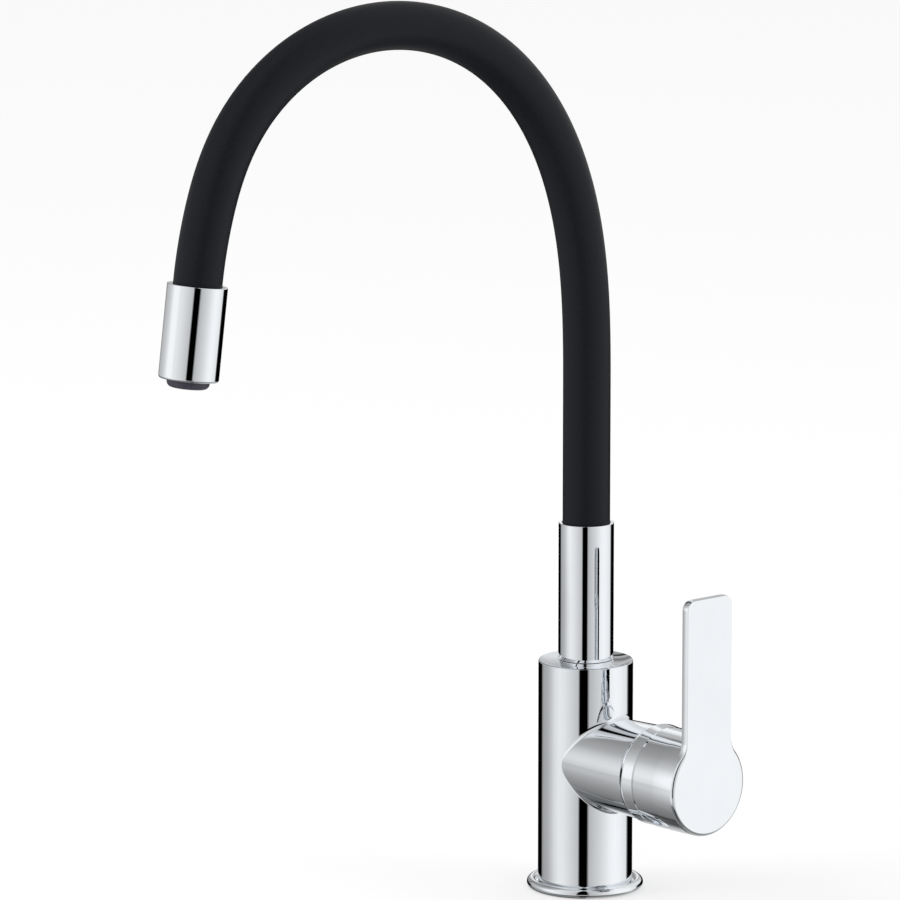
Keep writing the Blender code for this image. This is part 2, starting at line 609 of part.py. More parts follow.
def lever(axis):
    """Lever barrel with its keyhole face, the stem it is clamped on, the screw and its plug."""
    place = {"parent": axis, "location": (-PIVOT_X, 0, 0), "rotation": ALONG_X}
    rim_x = BRANCH_END_X + LEVER_SEAM
    back_x = FACE_X - PADDLE_THICKNESS / 2
    barrel = [(0, rim_x), (LEVER_RIM_RADIUS, rim_x), (LEVER_BARREL_RADIUS, LEVER_FLARE_END_X)]
    barrel += [(LEVER_BARREL_RADIUS, back_x), (0, back_x)]
    handle = piece(turned("lever_handle", barrel, FINE_SIDES), CHROME, **place)
    shape(handle, [guide(lofted("face_form", face_sections()), **place)], "UNION")

    sphere = DOME_RADIUS + LEVER_CLEARANCE
    open_angle = math.asin((rim_x - OVERRUN - PIVOT_X) / sphere)
    hollow = arc(0, PIVOT_X, sphere, open_angle, math.pi / 2)[:-1] + [(0, PIVOT_X + sphere)]
    hollow += [(0, rim_x - OVERRUN)]
    cuts = [guide(turned("lever_hollow_cut", hollow, FINE_SIDES), **place)]

    square_x = PIVOT_X + sphere + GAP
    square_end = square_x + STEM_SQUARE_LENGTH
    socket_width = STEM_SQUARE_WIDTH + SOCKET_PLAY * 2
    socket_end = square_end + SOCKET_END_GAP
    socket = block("stem_socket_cut", socket_width, socket_width, square_x - OVERRUN, socket_end)
    cuts.append(guide(socket, **place))

    screw_x = square_x + STEM_SQUARE_LENGTH * LEVER_SCREW_SHARE - PIVOT_X
    down = {"parent": axis, "location": (screw_x, 0, 0), "rotation": DOWN}
    tip = STEM_SQUARE_WIDTH / 2 + GAP
    head = tip + LEVER_SCREW_LENGTH
    plug_end = LEVER_BARREL_RADIUS - PLUG_SINK
    seat = plug_end - PLUG_LENGTH - GAP
    hole = [(0, STEM_SQUARE_WIDTH / 2), (LEVER_SCREW_RADIUS + GAP, STEM_SQUARE_WIDTH / 2)]
    hole += [(LEVER_SCREW_RADIUS + GAP, seat), (PLUG_RADIUS + GAP, seat)]
    outside = LEVER_BARREL_RADIUS + OVERRUN
    hole += [(PLUG_RADIUS + GAP, outside), (0, outside)]
    cuts.append(guide(turned("lever_screw_cut", hole, SMALL_SIDES), **down))
    shape(handle, cuts)
    profile = [(0, tip), (LEVER_SCREW_RADIUS, tip), (LEVER_SCREW_RADIUS, head), (0, head)]
    grub_screw("lever_set_screw", profile, head, LEVER_SCREW_RADIUS, **down)
    piece(rod("indicator_plug", PLUG_RADIUS, plug_end - PLUG_LENGTH, plug_end), WHITE_PLASTIC, **down)

    stem(place, square_x, square_end)


def stem(place, square_x, square_end):
    """Cartridge stem: ball, thin neck, blade with the pin's hole, round shank and square end."""
    ball_x = PIVOT_X - STEM_BALL_REACH
    blade_top = PIVOT_X + STEM_BLADE_TOP
    neck_angle = math.acos(STEM_NECK_RADIUS / STEM_BALL_RADIUS)
    profile = [(0, ball_x - STEM_BALL_RADIUS)]
    profile += arc(0, ball_x, STEM_BALL_RADIUS, -math.pi / 2, neck_angle)[1:]
    profile += [(STEM_NECK_RADIUS, blade_top - OVERLAP), (STEM_RADIUS, blade_top - OVERLAP)]
    profile += [(STEM_RADIUS, square_x), (0, square_x)]
    made = piece(turned("cartridge_stem", profile, PIN_SIDES), STEEL, **place)

    half = STEM_BLADE_WIDTH / 2
    blade = arc(0, PIVOT_X, STEM_HUB_RADIUS, -math.pi, 0)
    blade += [(STEM_HUB_RADIUS, blade_top), (-STEM_HUB_RADIUS, blade_top)]
    form = lofted("blade_form", [[(r, y, h) for r, h in blade] for y in (-half, half)])
    square = block("square_form", STEM_SQUARE_WIDTH, STEM_SQUARE_WIDTH, square_x - OVERLAP, square_end)
    shape(made, [guide(form, **place), guide(square, **place)], "UNION")
    hole = rod("stem_pin_cut", PIN_RADIUS + GAP, -STEM_BLADE_WIDTH, STEM_BLADE_WIDTH, PIN_SIDES)
    shape(made, [guide(hole, parent=place["parent"], rotation=TO_REAR)])


def groove(profile, z, half_width, floor, outside):
    """Adds one square groove to a profile that runs up."""
    low, high = z - half_width, z + half_width
    profile += [(outside, low), (floor, low), (floor, high), (outside, high)]


def swivel(axis):
    """Tail that turns in the body's socket, with its O-rings, slip ring, collar and riser tube."""
    bottom = SOCKET_FLOOR_Z + TAIL_LIFT
    dish_z = BODY_TOP_Z - DISH_DEPTH
    riser_z = COLLAR_TOP_Z + GAP
    head_z = riser_z + TAIL_HEAD_LENGTH
    bore = HOSE_RADIUS + GAP
    oring_centre = SOCKET_RADIUS - GAP - ORING_SECTION_RADIUS
    oring_floor = oring_centre - ORING_SECTION_RADIUS - GAP
    profile = [(TAIL_BORE_RADIUS, bottom), (TAIL_RADIUS, bottom)]
    groove(profile, ORING_LOWER_Z, ORING_SECTION_RADIUS + GAP, oring_floor, TAIL_RADIUS)
    groove(profile, SCREW_GROOVE_Z, SCREW_GROOVE_WIDTH / 2, TAIL_RADIUS - SCREW_GROOVE_DEPTH, TAIL_RADIUS)
    groove(profile, ORING_UPPER_Z, ORING_SECTION_RADIUS + GAP, oring_floor, TAIL_RADIUS)
    profile += [(TAIL_RADIUS, riser_z), (bore - GAP, riser_z), (bore - GAP, head_z)]
    profile += [(TAIL_BORE_RADIUS, head_z)]
    piece(turned("swivel_tail", profile, SMALL_SIDES), BRASS, parent=axis)
    for name, z in (("swivel_oring_lower", ORING_LOWER_Z), ("swivel_oring_upper", ORING_UPPER_Z)):
        section = arc(oring_centre, z, ORING_SECTION_RADIUS, 0, math.pi * 2, ORING_STEPS)[:-1]
        piece(turned(name, section, SMALL_SIDES), RUBBER, parent=axis)

    bush_z = dish_z - BUSH_HEIGHT
    bush = ring("swivel_bush", TAIL_RADIUS + GAP, BUSH_SEAT_RADIUS - GAP, bush_z + GAP, dish_z - GAP)
    piece(bush, WHITE_PLASTIC, parent=axis)
    foot_z = dish_z + GAP
    inner = TAIL_RADIUS + GAP
    collar = [(inner, foot_z), (COLLAR_FOOT_RADIUS, foot_z), (RISER_RADIUS, foot_z + COLLAR_CHAMFER_HEIGHT)]
    collar += [(RISER_RADIUS, COLLAR_TOP_Z), (inner, COLLAR_TOP_Z)]
    piece(turned("spout_collar", collar, FINE_SIDES), CHROME, parent=axis)
    edge = RISER_TOP_Z - RISER_EDGE
    riser = [(bore, riser_z), (RISER_RADIUS, riser_z), (RISER_RADIUS, edge)]
    riser += [(RISER_RADIUS - RISER_EDGE, RISER_TOP_Z), (bore, RISER_TOP_Z)]
    piece(turned("riser_sleeve", riser, FINE_SIDES), CHROME, parent=axis)


def hose_ferrule(name, nipple, **place):
    """End fitting of the hose: a disc with a nipple that holds the water hose."""
    grip = WATER_HOSE_BORE_RADIUS - NIPPLE_PLAY
    profile = [(FERRULE_BORE_RADIUS, 0), (FERRULE_RADIUS, 0), (FERRULE_RADIUS, FERRULE_THICKNESS)]
    profile += [(grip, FERRULE_THICKNESS), (grip, FERRULE_THICKNESS + nipple)]
    profile += [(FERRULE_BORE_RADIUS, FERRULE_THICKNESS + nipple)]
    piece(turned(name, profile, SMALL_SIDES), BRASS, **place)


def curvature(run):
    """Curvature of the hose's centre line at a length above the riser."""
    crown, leg = 1 / CROWN_RADIUS, 1 / LEG_RADIUS
    for length, first, last in (
        (HOSE_STRAIGHT, 0, 0),
        (HOSE_EASE_IN, 0, crown),
        (HOSE_CROWN, crown, crown),
        (HOSE_EASE_OUT, crown, leg),
        (HOSE_LEG, leg, leg),
    ):
        if run <= length:
            return first + (last - first) * run / length
        run -= length
    return 0


def hose_stations():
    """Bent part of the centre line as (outward, height, heading) stations; heading is the lean from up."""
    total = HOSE_STRAIGHT + HOSE_EASE_IN + HOSE_CROWN + HOSE_EASE_OUT + HOSE_LEG
    curved = total - HOSE_STRAIGHT
    count = math.ceil(curved / HOSE_STATION)
    step = curved / count / HOSE_SUBSTEPS
    out, height, heading, run = 0, RISER_TOP_Z + HOSE_STRAIGHT, 0, HOSE_STRAIGHT
    stations = [(out, height, heading)]
    for _ in range(count):
        for _ in range(HOSE_SUBSTEPS):
            heading += curvature(run + step / 2) * step / 2
            out += math.sin(heading) * step
            height += math.cos(heading) * step
            heading += curvature(run + step / 2) * step / 2
            run += step
        stations.append((out, height, heading))
    return stations


def hose_tube(name, inner, outer, stations, sides):
    """A tube along the centre line: outer skin up, inner skin back, joined at both ends."""
    made = bmesh.new()

    def loop(station, radius):
        out, height, heading = station
        side = Vector((radius, 0, 0))
        lift = Vector((0, math.cos(heading), math.sin(heading))) * radius
        centre = Vector((0, -out, height))
        turn = [2 * math.pi * i / sides for i in range(sides)]
        return [made.verts.new(centre + side * math.cos(a) + lift * math.sin(a)) for a in turn]

    rows = [loop(s, outer) for s in stations] + [loop(s, inner) for s in reversed(stations)]
    for row, after in zip(rows, rows[1:] + rows[:1]):
        for i in range(sides):
            j = (i + 1) % sides
            made.faces.new((row[i], row[j], after[j], after[i]))
    return finish_mesh(name, made)


def hose(axis):
    """Hose with its bendable core and water hose, from inside the riser to inside the outlet head."""
    ferrule_z = COLLAR_TOP_Z + GAP + TAIL_HEAD_LENGTH + GAP
    start = (0, ferrule_z + FERRULE_THICKNESS + GAP, 0)
    arch = hose_stations()
    out, height, heading = arch[-1]
    end_out = out + math.sin(heading) * HEAD_SOCKET_DEPTH
    end_height = height + math.cos(heading) * HEAD_SOCKET_DEPTH
    stations = [start] + arch + [(end_out, end_height, heading)]
    sleeve = hose_tube("hose_sleeve", HOSE_BORE_RADIUS, HOSE_RADIUS, stations, HOSE_SIDES)
    core = hose_tube("gooseneck_core", CORE_BORE_RADIUS, CORE_RADIUS, stations, CORE_SIDES)
    water = hose_tube("water_hose", WATER_HOSE_BORE_RADIUS, WATER_HOSE_RADIUS, stations, CORE_SIDES)
    piece(sleeve, SILICONE, parent=axis)
    piece(core, STEEL, parent=axis)
    piece(water, WHITE_PLASTIC, parent=axis)
    hose_ferrule("hose_ferrule_lower", LOWER_NIPPLE_LENGTH, parent=axis, location=(0, 0, ferrule_z))
    return arch


def drill_pattern(name, low, high):
    """Holes of the flow straightener: one in the middle and rings of them around it."""
    made = bmesh.new()
    for row in range(INSERT_RINGS + 1):
        count = max(1, HEX_SIDES * row)
        for i in range(count):
            angle = 2 * math.pi * i / count
            reach = INSERT_HOLE_PITCH * row
            place = Matrix.Translation((reach * math.cos(angle), reach * math.sin(angle), (low + high) / 2))
            size = {"segments": HEX_SIDES, "radius1": INSERT_HOLE_RADIUS, "radius2": INSERT_HOLE_RADIUS}
            bmesh.ops.create_cone(made, cap_ends=True, depth=high - low, matrix=place, **size)
    return finish_mesh(name, made)


def outlet_head(frame):
    """Outlet head on the hose's end: shell, upper ferrule, gasket, nozzle and flow straightener."""
    bore = HOSE_RADIUS + GAP
    ferrule_end = HEAD_SOCKET_DEPTH + GAP + FERRULE_THICKNESS
    place = {"parent": frame, "location": (0, 0, ferrule_end), "rotation": DOWN}
    hose_ferrule("hose_ferrule_upper", UPPER_NIPPLE_LENGTH, **place)

    step = ferrule_end + GAP
    edge = HEAD_BOTTOM_EDGE
    shell = [(bore, 0), (HEAD_RADIUS - HEAD_TOP_EDGE, 0), (HEAD_RADIUS, HEAD_TOP_EDGE)]
    shell += arc(HEAD_RADIUS - edge, HEAD_LENGTH - edge, edge, 0, math.pi / 2, ROUND_STEPS)
    shell += [(NOZZLE_SEAT_RADIUS, HEAD_LENGTH), (NOZZLE_SEAT_RADIUS, HEAD_SHOULDER)]
    shell += [(HEAD_WATERWAY_RADIUS, HEAD_SHOULDER), (HEAD_WATERWAY_RADIUS, step), (bore, step)]
    piece(turned("head_shell", shell, FINE_SIDES), CHROME, parent=frame)

    gasket = HEAD_SHOULDER + GAP
    gasket_end = gasket + AERATOR_GASKET_THICKNESS
    inner = AERATOR_GASKET_INNER_RADIUS
    washer = ring("aerator_gasket", inner, NOZZLE_RADIUS, gasket, gasket_end, SMALL_SIDES)
    piece(washer, RUBBER, parent=frame)
    top = gasket_end + GAP
    mouth = HEAD_LENGTH + NOZZLE_PROUD
    lip = mouth - NOZZLE_LIP_THICKNESS
    nozzle = [(NOZZLE_BORE_RADIUS, top), (NOZZLE_RADIUS, top), (NOZZLE_RADIUS, HEAD_LENGTH)]
    nozzle += [(NOZZLE_LIP_RADIUS, HEAD_LENGTH)]
    lip_round = NOZZLE_LIP_RADIUS - NOZZLE_ROUND
    nozzle += arc(lip_round, mouth - NOZZLE_ROUND, NOZZLE_ROUND, 0, math.pi / 2, ROUND_STEPS)
    nozzle += [(NOZZLE_MOUTH_RADIUS, mouth), (NOZZLE_MOUTH_RADIUS, lip), (NOZZLE_BORE_RADIUS, lip)]
    piece(turned("aerator_housing", nozzle), GREY_PLASTIC, parent=frame)

    insert_end = lip - GAP
    insert_top = insert_end - INSERT_HEIGHT
    insert = rod("aerator_insert", NOZZLE_BORE_RADIUS - GAP, insert_top, insert_end)
    holes = drill_pattern("insert_holes_cut", insert_top - OVERRUN, insert_end + OVERRUN)
    shape(piece(insert, GREY_PLASTIC, parent=frame), [guide(holes, parent=frame)])


def flex_point(arch):
    """Centroid of the arch's centre line, where the hose's bending is taken as one hinge."""
    outs = [out for out, _, _ in arch]
    heights = [height for _, height, _ in arch]
    return Vector((0, -sum(outs) / len(arch), sum(heights) / len(arch)))


def build():
    """The whole faucet, from the worktop up."""
    for old in list(bpy.data.objects):
        bpy.data.objects.remove(old)
    foot()
    mixer_body()
    spout_retaining_screw()
    cartridge()
    nut_and_dome()
    temperature_axis = put("temperature_axis", None, location=(0, 0, BRANCH_Z))
    cartridge_rotor(temperature_axis)
    control_disc(temperature_axis)
    lever(put("lever_axis", None, parent=temperature_axis, location=(PIVOT_X, 0, 0)))

    spout_axis = put("spout_axis", None, rotation=(0, 0, SPOUT_TURN))
    swivel(spout_axis)
    arch = hose(spout_axis)
    out, height, heading = arch[-1]
    hinge = flex_point(arch)
    flex_axis = put("flex_axis", None, parent=spout_axis, location=hinge)
    head_place = Vector((0, -out, height)) - hinge
    outlet_head(put("head_frame", None, parent=flex_axis, location=head_place, rotation=(heading, 0, 0)))


build()
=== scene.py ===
"""Looks of the flexible kitchen faucet: fine skins for its visible pieces, materials, studio and camera."""

import json
import math

import bmesh
import bpy
from mathutils import Matrix, Vector

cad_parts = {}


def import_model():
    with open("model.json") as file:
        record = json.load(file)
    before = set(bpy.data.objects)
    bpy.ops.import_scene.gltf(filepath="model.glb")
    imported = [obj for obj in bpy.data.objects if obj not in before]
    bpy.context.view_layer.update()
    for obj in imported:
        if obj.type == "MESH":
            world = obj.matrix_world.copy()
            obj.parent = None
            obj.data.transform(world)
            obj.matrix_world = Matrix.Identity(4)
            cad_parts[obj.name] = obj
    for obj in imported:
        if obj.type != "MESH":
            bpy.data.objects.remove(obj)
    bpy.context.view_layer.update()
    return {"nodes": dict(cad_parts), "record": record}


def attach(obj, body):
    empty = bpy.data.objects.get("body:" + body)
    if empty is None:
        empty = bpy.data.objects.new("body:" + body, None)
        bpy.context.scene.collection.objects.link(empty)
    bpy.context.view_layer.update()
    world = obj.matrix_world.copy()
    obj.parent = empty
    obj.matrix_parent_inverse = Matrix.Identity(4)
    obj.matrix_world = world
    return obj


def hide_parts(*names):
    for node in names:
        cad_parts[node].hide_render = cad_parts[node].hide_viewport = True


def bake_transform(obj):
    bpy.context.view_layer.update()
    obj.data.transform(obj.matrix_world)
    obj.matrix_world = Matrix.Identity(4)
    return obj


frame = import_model()

MM = 0.001
# Height of the branch's axis, the lever's pivot on it, and how far the spout is turned from -Y
BRANCH_Z = 67.65
PIVOT_X = 36.0
SPOUT_TURN = math.radians(-10)
# Direction in which the studio's front lies, behind the camera
STAGE_AZIMUTH = math.atan2(-0.6619, 0.7496)
# Facets round the pieces
SIDES = 144
RING_SIDES = 192
NOZZLE_SIDES = 96
HOLE_SIDES = 48


# Materials

def nodes_of(name):
    """A new material with its shader, and a helper that adds nodes."""
    made = bpy.data.materials.new(name)
    made.use_nodes = True
    tree = made.node_tree
    shader = tree.nodes["Principled BSDF"]

    def add(kind, **values):
        node = tree.nodes.new(kind)
        for key, value in values.items():
            if key in node.inputs:
                node.inputs[key].default_value = value
            else:
                setattr(node, key, value)
        return node

    return made, tree.links.new, shader, add


def ramp(add, stops):
    """A colour ramp with the given (position, grey or colour) stops."""
    node = add("ShaderNodeValToRGB")
    elements = node.color_ramp.elements
    while len(elements) < len(stops):
        elements.new(0.5)
    for element, (position, value) in zip(elements, stops):
        element.position = position
        colour = (value, value, value) if isinstance(value, (int, float)) else value
        element.color = (*colour, 1)
    return node


def noise(add, link, scale, detail=2.0, roughness=0.5):
    """Noise over the object's own coordinates, in metres."""
    where = add("ShaderNodeTexCoord")
    node = add("ShaderNodeTexNoise", Scale=scale, Detail=detail, Roughness=roughness)
    link(where.outputs["Object"], node.inputs["Vector"])
    return node


def metal(name, colour, rough_low, rough_high, grain, wave=0.0, wave_scale=60.0):
    """A metal whose polish varies a little, with an optional faint waviness."""
    made, link, shader, add = nodes_of(name)
    shader.inputs["Metallic"].default_value = 1.0
    patch = noise(add, link, grain, detail=3.0, roughness=0.6)
    tint = ramp(add, [(0.3, tuple(c * 0.97 for c in colour)), (0.7, colour)])
    link(patch.outputs["Fac"], tint.inputs["Fac"])
    link(tint.outputs["Color"], shader.inputs["Base Color"])
    rough = add("ShaderNodeMapRange")
    rough.inputs["To Min"].default_value = rough_low
    rough.inputs["To Max"].default_value = rough_high
    link(patch.outputs["Fac"], rough.inputs["Value"])
    link(rough.outputs["Result"], shader.inputs["Roughness"])
    if wave:
        swell = noise(add, link, wave_scale, detail=1.0, roughness=0.4)
        bump = add("ShaderNodeBump", Strength=wave, Distance=0.001)
        link(swell.outputs["Fac"], bump.inputs["Height"])
        link(bump.outputs["Normal"], shader.inputs["Normal"])
    return made


def moulded(name, dark, light, rough_low, rough_high, grain, bump_strength, specular=0.5):
    """A moulded rubber, plastic or ceramic with fine grain."""
    made, link, shader, add = nodes_of(name)
    shader.inputs["Specular IOR Level"].default_value = specular
    patch = noise(add, link, grain, detail=6.0, roughness=0.65)
    tint = ramp(add, [(0.35, dark), (0.65, light)])
    link(patch.outputs["Fac"], tint.inputs["Fac"])
    link(tint.outputs["Color"], shader.inputs["Base Color"])
    rough = add("ShaderNodeMapRange")
    rough.inputs["To Min"].default_value = rough_low
    rough.inputs["To Max"].default_value = rough_high
    link(patch.outputs["Fac"], rough.inputs["Value"])
    link(rough.outputs["Result"], shader.inputs["Roughness"])
    bump = add("ShaderNodeBump", Strength=bump_strength, Distance=0.0002)
    link(patch.outputs["Fac"], bump.inputs["Height"])
    link(bump.outputs["Normal"], shader.inputs["Normal"])
    return made


CHROME = metal(
    "chrome_polished",
    (0.9, 0.925, 0.955),
    rough_low=0.015,
    rough_high=0.04,
    grain=40.0,
    wave=0.035,
    wave_scale=38.0,
)
BRASS = metal("brass_machined", (0.72, 0.55, 0.28), rough_low=0.22, rough_high=0.36, grain=300.0)
STEEL = metal("steel_machined", (0.62, 0.62, 0.63), rough_low=0.24, rough_high=0.38, grain=400.0)
SILICONE = moulded(
    "silicone_black",
    dark=(0.005, 0.006, 0.0095),
    light=(0.0075, 0.009, 0.013),
    rough_low=0.42,
    rough_high=0.5,
    grain=900.0,
    bump_strength=0.12,
    specular=0.18,
)
RUBBER = moulded(
    "rubber_black",
    dark=(0.02, 0.02, 0.02),
    light=(0.035, 0.035, 0.035),
    rough_low=0.6,
    rough_high=0.8,
    grain=700.0,
    bump_strength=0.2,
)
GREY = moulded(
    "nozzle_grey",
    dark=(0.04, 0.036, 0.053),
    light=(0.055, 0.05, 0.072),
    rough_low=0.36,
    rough_high=0.46,
    grain=700.0,
    bump_strength=0.12,
    specular=0.35,
)
WHITE = moulded(
    "plastic_white",
    dark=(0.76, 0.76, 0.74),
    light=(0.82, 0.82, 0.8),
    rough_low=0.35,
    rough_high=0.45,
    grain=500.0,
    bump_strength=0.05,
)
CERAMIC = moulded(
    "ceramic_disc",
    dark=(0.82, 0.81, 0.77),
    light=(0.87, 0.86, 0.82),
    rough_low=0.12,
    rough_high=0.2,
    grain=900.0,
    bump_strength=0.02,
)
BY_SLOT = {
    "chrome": CHROME,
    "brass": BRASS,
    "steel": STEEL,
    "black_silicone": SILICONE,
    "black_rubber": RUBBER,
    "grey_plastic": GREY,
    "white_plastic": WHITE,
    "disc_ceramic": CERAMIC,
}
for part in frame["record"]["subparts"]:
    mesh = frame["nodes"][part["node"]].data
    mesh.materials.clear()
    mesh.materials.append(BY_SLOT[part["material_slot"]])


# Skins with exact normals

class Skin:
    """Faces with their own corner normals, welded where they meet. Lengths in millimetres."""

    def __init__(self):
        self.places = []
        self.index = {}
        self.faces = []
        self.normals = []

    def corner(self, place):
        """Index of a place, the same one for places that meet."""
        key = (round(place[0], 4), round(place[1], 4), round(place[2], 4))
        if key not in self.index:
            self.index[key] = len(self.places)
            self.places.append(Vector(place) * MM)
        return self.index[key]

    def face(self, corners):
        """One face from (place, normal) corners, turned so that it faces along its normals."""
        kept = []
        for place, normal in corners:
            at = self.corner(place)
            if all(at != other for other, _ in kept):
                kept.append((at, Vector(normal).normalized()))
        if len(kept) < 3:
            return
        around = Vector((0, 0, 0))
        spots = [self.places[at] for at, _ in kept]
        for here, there in zip(spots, spots[1:] + spots[:1]):
            around += here.cross(there)
        mean = sum((normal for _, normal in kept), Vector((0, 0, 0)))
        if around.dot(mean) < 0:
            kept.reverse()
        self.faces.append([at for at, _ in kept])
        self.normals.extend(normal for _, normal in kept)

    def strip(self, rows, closed=False):
        """Quads between rows of (place, normal) points of equal count."""
        for row, after in zip(rows, rows[1:]):
            count = len(row)
            for i in range(count if closed else count - 1):
                j = (i + 1) % count
                self.face([row[i], row[j], after[j], after[i]])

    def piece(self, name, look, slot):
        """The object with these faces and normals, in one material."""
        mesh = bpy.data.meshes.new(name)
        mesh.from_pydata([tuple(p) for p in self.places], [], self.faces)
        mesh.shade_smooth()
        mesh.normals_split_custom_set([tuple(n) for n in self.normals])
        mesh.materials.append(look)
        made = bpy.data.objects.new(name, mesh)
        bpy.context.scene.collection.objects.link(made)
        return made


def rounded(profile, steps=6):
    """Runs of (r, h, normal r, normal h) along a profile of (r, h) or (r, h, rounding) corners.

    The profile goes up the outside, in over the top and down the inside.
    """
    corners = [Vector(p[:2]) for p in profile]
    radii = [p[2] if len(p) > 2 else 0 for p in profile]
    ways = [(b - a).normalized() for a, b in zip(corners, corners[1:])]
    runs = [[]]

    def put(place, way):
        runs[-1].append((place.x, place.y, way.y, -way.x))

    put(corners[0], ways[0])
    for i in range(1, len(corners) - 1):
        before, after = ways[i - 1], ways[i]
        bend = before.angle_signed(after)
        if not radii[i] or abs(bend) < 1e-6:
            put(corners[i], before)
            if abs(bend) >= 1e-6:
                runs.append([])
                put(corners[i], after)
            continue
        trim = radii[i] * math.tan(abs(bend) / 2)
        start = corners[i] - before * trim
        inward = Vector((before.y, -before.x)) * (1 if bend > 0 else -1)
        centre = start + inward * radii[i]
        for k in range(steps + 1):
            turn = Matrix.Rotation(-bend * k / steps, 2)
            put(centre + turn @ (start - centre), turn @ before)
    put(corners[-1], ways[-1])
    return runs


def ball(centre, radius, start, end, steps, outward=1):
    """One run along an arc about (0, centre); angles go from outwards towards up."""
    run = []
    for k in range(steps + 1):
        a = math.radians(start + (end - start) * k / steps)
        c, s = math.cos(a), math.sin(a)
        run.append((radius * c, centre + radius * s, outward * c, outward * s))
    return [run]


def evenly(count):
    """Angles of a full turn in equal steps."""
    return [2 * math.pi * i / count for i in range(count)]


def revolve(skin, runs, angles, place=None):
    """Turns runs of profile points about the local Z axis."""
    place = place or Matrix.Identity(4)
    turn = place.to_3x3()
    for run in runs:
        rows = []
        for r, h, nr, nh in run:
            row = []
            for a in angles:
                c, s = math.cos(a), math.sin(a)
                row.append((place @ Vector((r * c, r * s, h)), turn @ Vector((nr * c, nr * s, nh))))
            rows.append(row)
        skin.strip(rows, closed=True)


ALONG_X = Matrix(((0, 0, 1, 0), (0, 1, 0, 0), (-1, 0, 0, BRANCH_Z), (0, 0, 0, 1)))
SPOUT = Matrix.Rotation(SPOUT_TURN, 4, "Z")


def window(skin, place, us, vs, middle, radius, scale):
    """Fills a rectangular window of a grid with quads that leave a round hole, and returns its edge.

    place(u, v) gives (place, normal); scale is the millimetres per unit of u and v.
    """
    loop = [(u, vs[0]) for u in us[:-1]] + [(us[-1], v) for v in vs[:-1]]
    loop += [(u, vs[-1]) for u in reversed(us[1:])] + [(us[0], v) for v in reversed(vs[1:])]
    edge = []
    for u, v in loop:
        a = math.atan2((v - middle[1]) * scale[1], (u - middle[0]) * scale[0])
        over_u, over_v = radius * math.cos(a) / scale[0], radius * math.sin(a) / scale[1]
        edge.append((middle[0] + over_u, middle[1] + over_v))
    rows = []
    for share in (0, 0.5, 1):
        rows.append([place(u + (p - u) * share, v + (q - v) * share) for (u, v), (p, q) in zip(loop, edge)])
    skin.strip(rows, closed=True)
    return rows[-1]


# Body with its side branch, blended by a ball rolled round the root

BODY_R = 24.0
BODY_TOP = 117.7
BODY_FOOT = 3.5
RIM = 0.35
ROOT_R = 22.7
# End of the branch, its bore, and the place on the taper that its profile starts from
END_R = 24.3
END_X = 51.35
END_ROUNDING = 0.3
END_BORE = 22.0
END_BORE_X = 47.0
BRANCH_FROM_X = 40.0
# Radius of the rolled ball
BLEND = 2.6
TAPER = (END_R - ROOT_R) / (END_X - END_ROUNDING)
SLOPE = math.atan(TAPER)
SCREW_Z = 101.0
SCREW_HOLE = 2.1
# Half the height and the azimuths of the window of the wall that the screw's hole lies in
SCREW_WINDOW = 3.5
SCREW_LEFT = math.radians(82)
SCREW_RIGHT = math.radians(98)
SCREW_END_Y = 21.5
# Dished top: its rim, the foot of its hollow, the flat seat round the collar and the socket in it
DISH_RIM_R = 23.2
DISH_RIM_ROUNDING = 0.25
DISH_R = 19.6
DISH_Z = 115.05
DISH_ARC_R = 30.0
SEAT_R = 15.2
SEAT_Z = 113.7
SEAT_ROUNDING = 0.3
SPOUT_SOCKET_R = 11.0
FOOT_BORE = 20.0
SPIGOT_R = 18.7
SPIGOT_SIDES = 128
# How far the spigot goes up into the shell, and how far a cutter goes past it
SPIGOT_SINKS = 0.1
OVERRUN = 1.5
PORT_DEPTH = 16.0
# Name, x, y and radius of the stud hole and the two supply hoses' threads in the underside
PORTS = (("stud_hole", -10.5, 0, 3.4), ("supply_hole", 4.0, -6.41, 4.6), ("supply_hole", 4.0, 6.41, 4.6))
# Edges sharper than this stay sharp
SHARP_FROM = math.radians(32)
# Rounds after which a place that is found by repetition has settled
ROUNDS = 40


def rolled(phi):
    """Centre of the rolled ball, with the outward normals of body and branch where it touches them."""
    x = BODY_R
    for _ in range(ROUNDS):
        reach = ROOT_R + TAPER * x + BLEND / math.cos(SLOPE)
        x = math.sqrt((BODY_R + BLEND) ** 2 - (reach * math.cos(phi)) ** 2)
    y, z = reach * math.cos(phi), reach * math.sin(phi)
    on_body = Vector((x, y, 0)).normalized()
    on_branch = Vector((-math.sin(SLOPE), math.cos(SLOPE) * math.cos(phi), math.cos(SLOPE) * math.sin(phi)))
    return Vector((x, y, BRANCH_Z + z)), on_body, on_branch


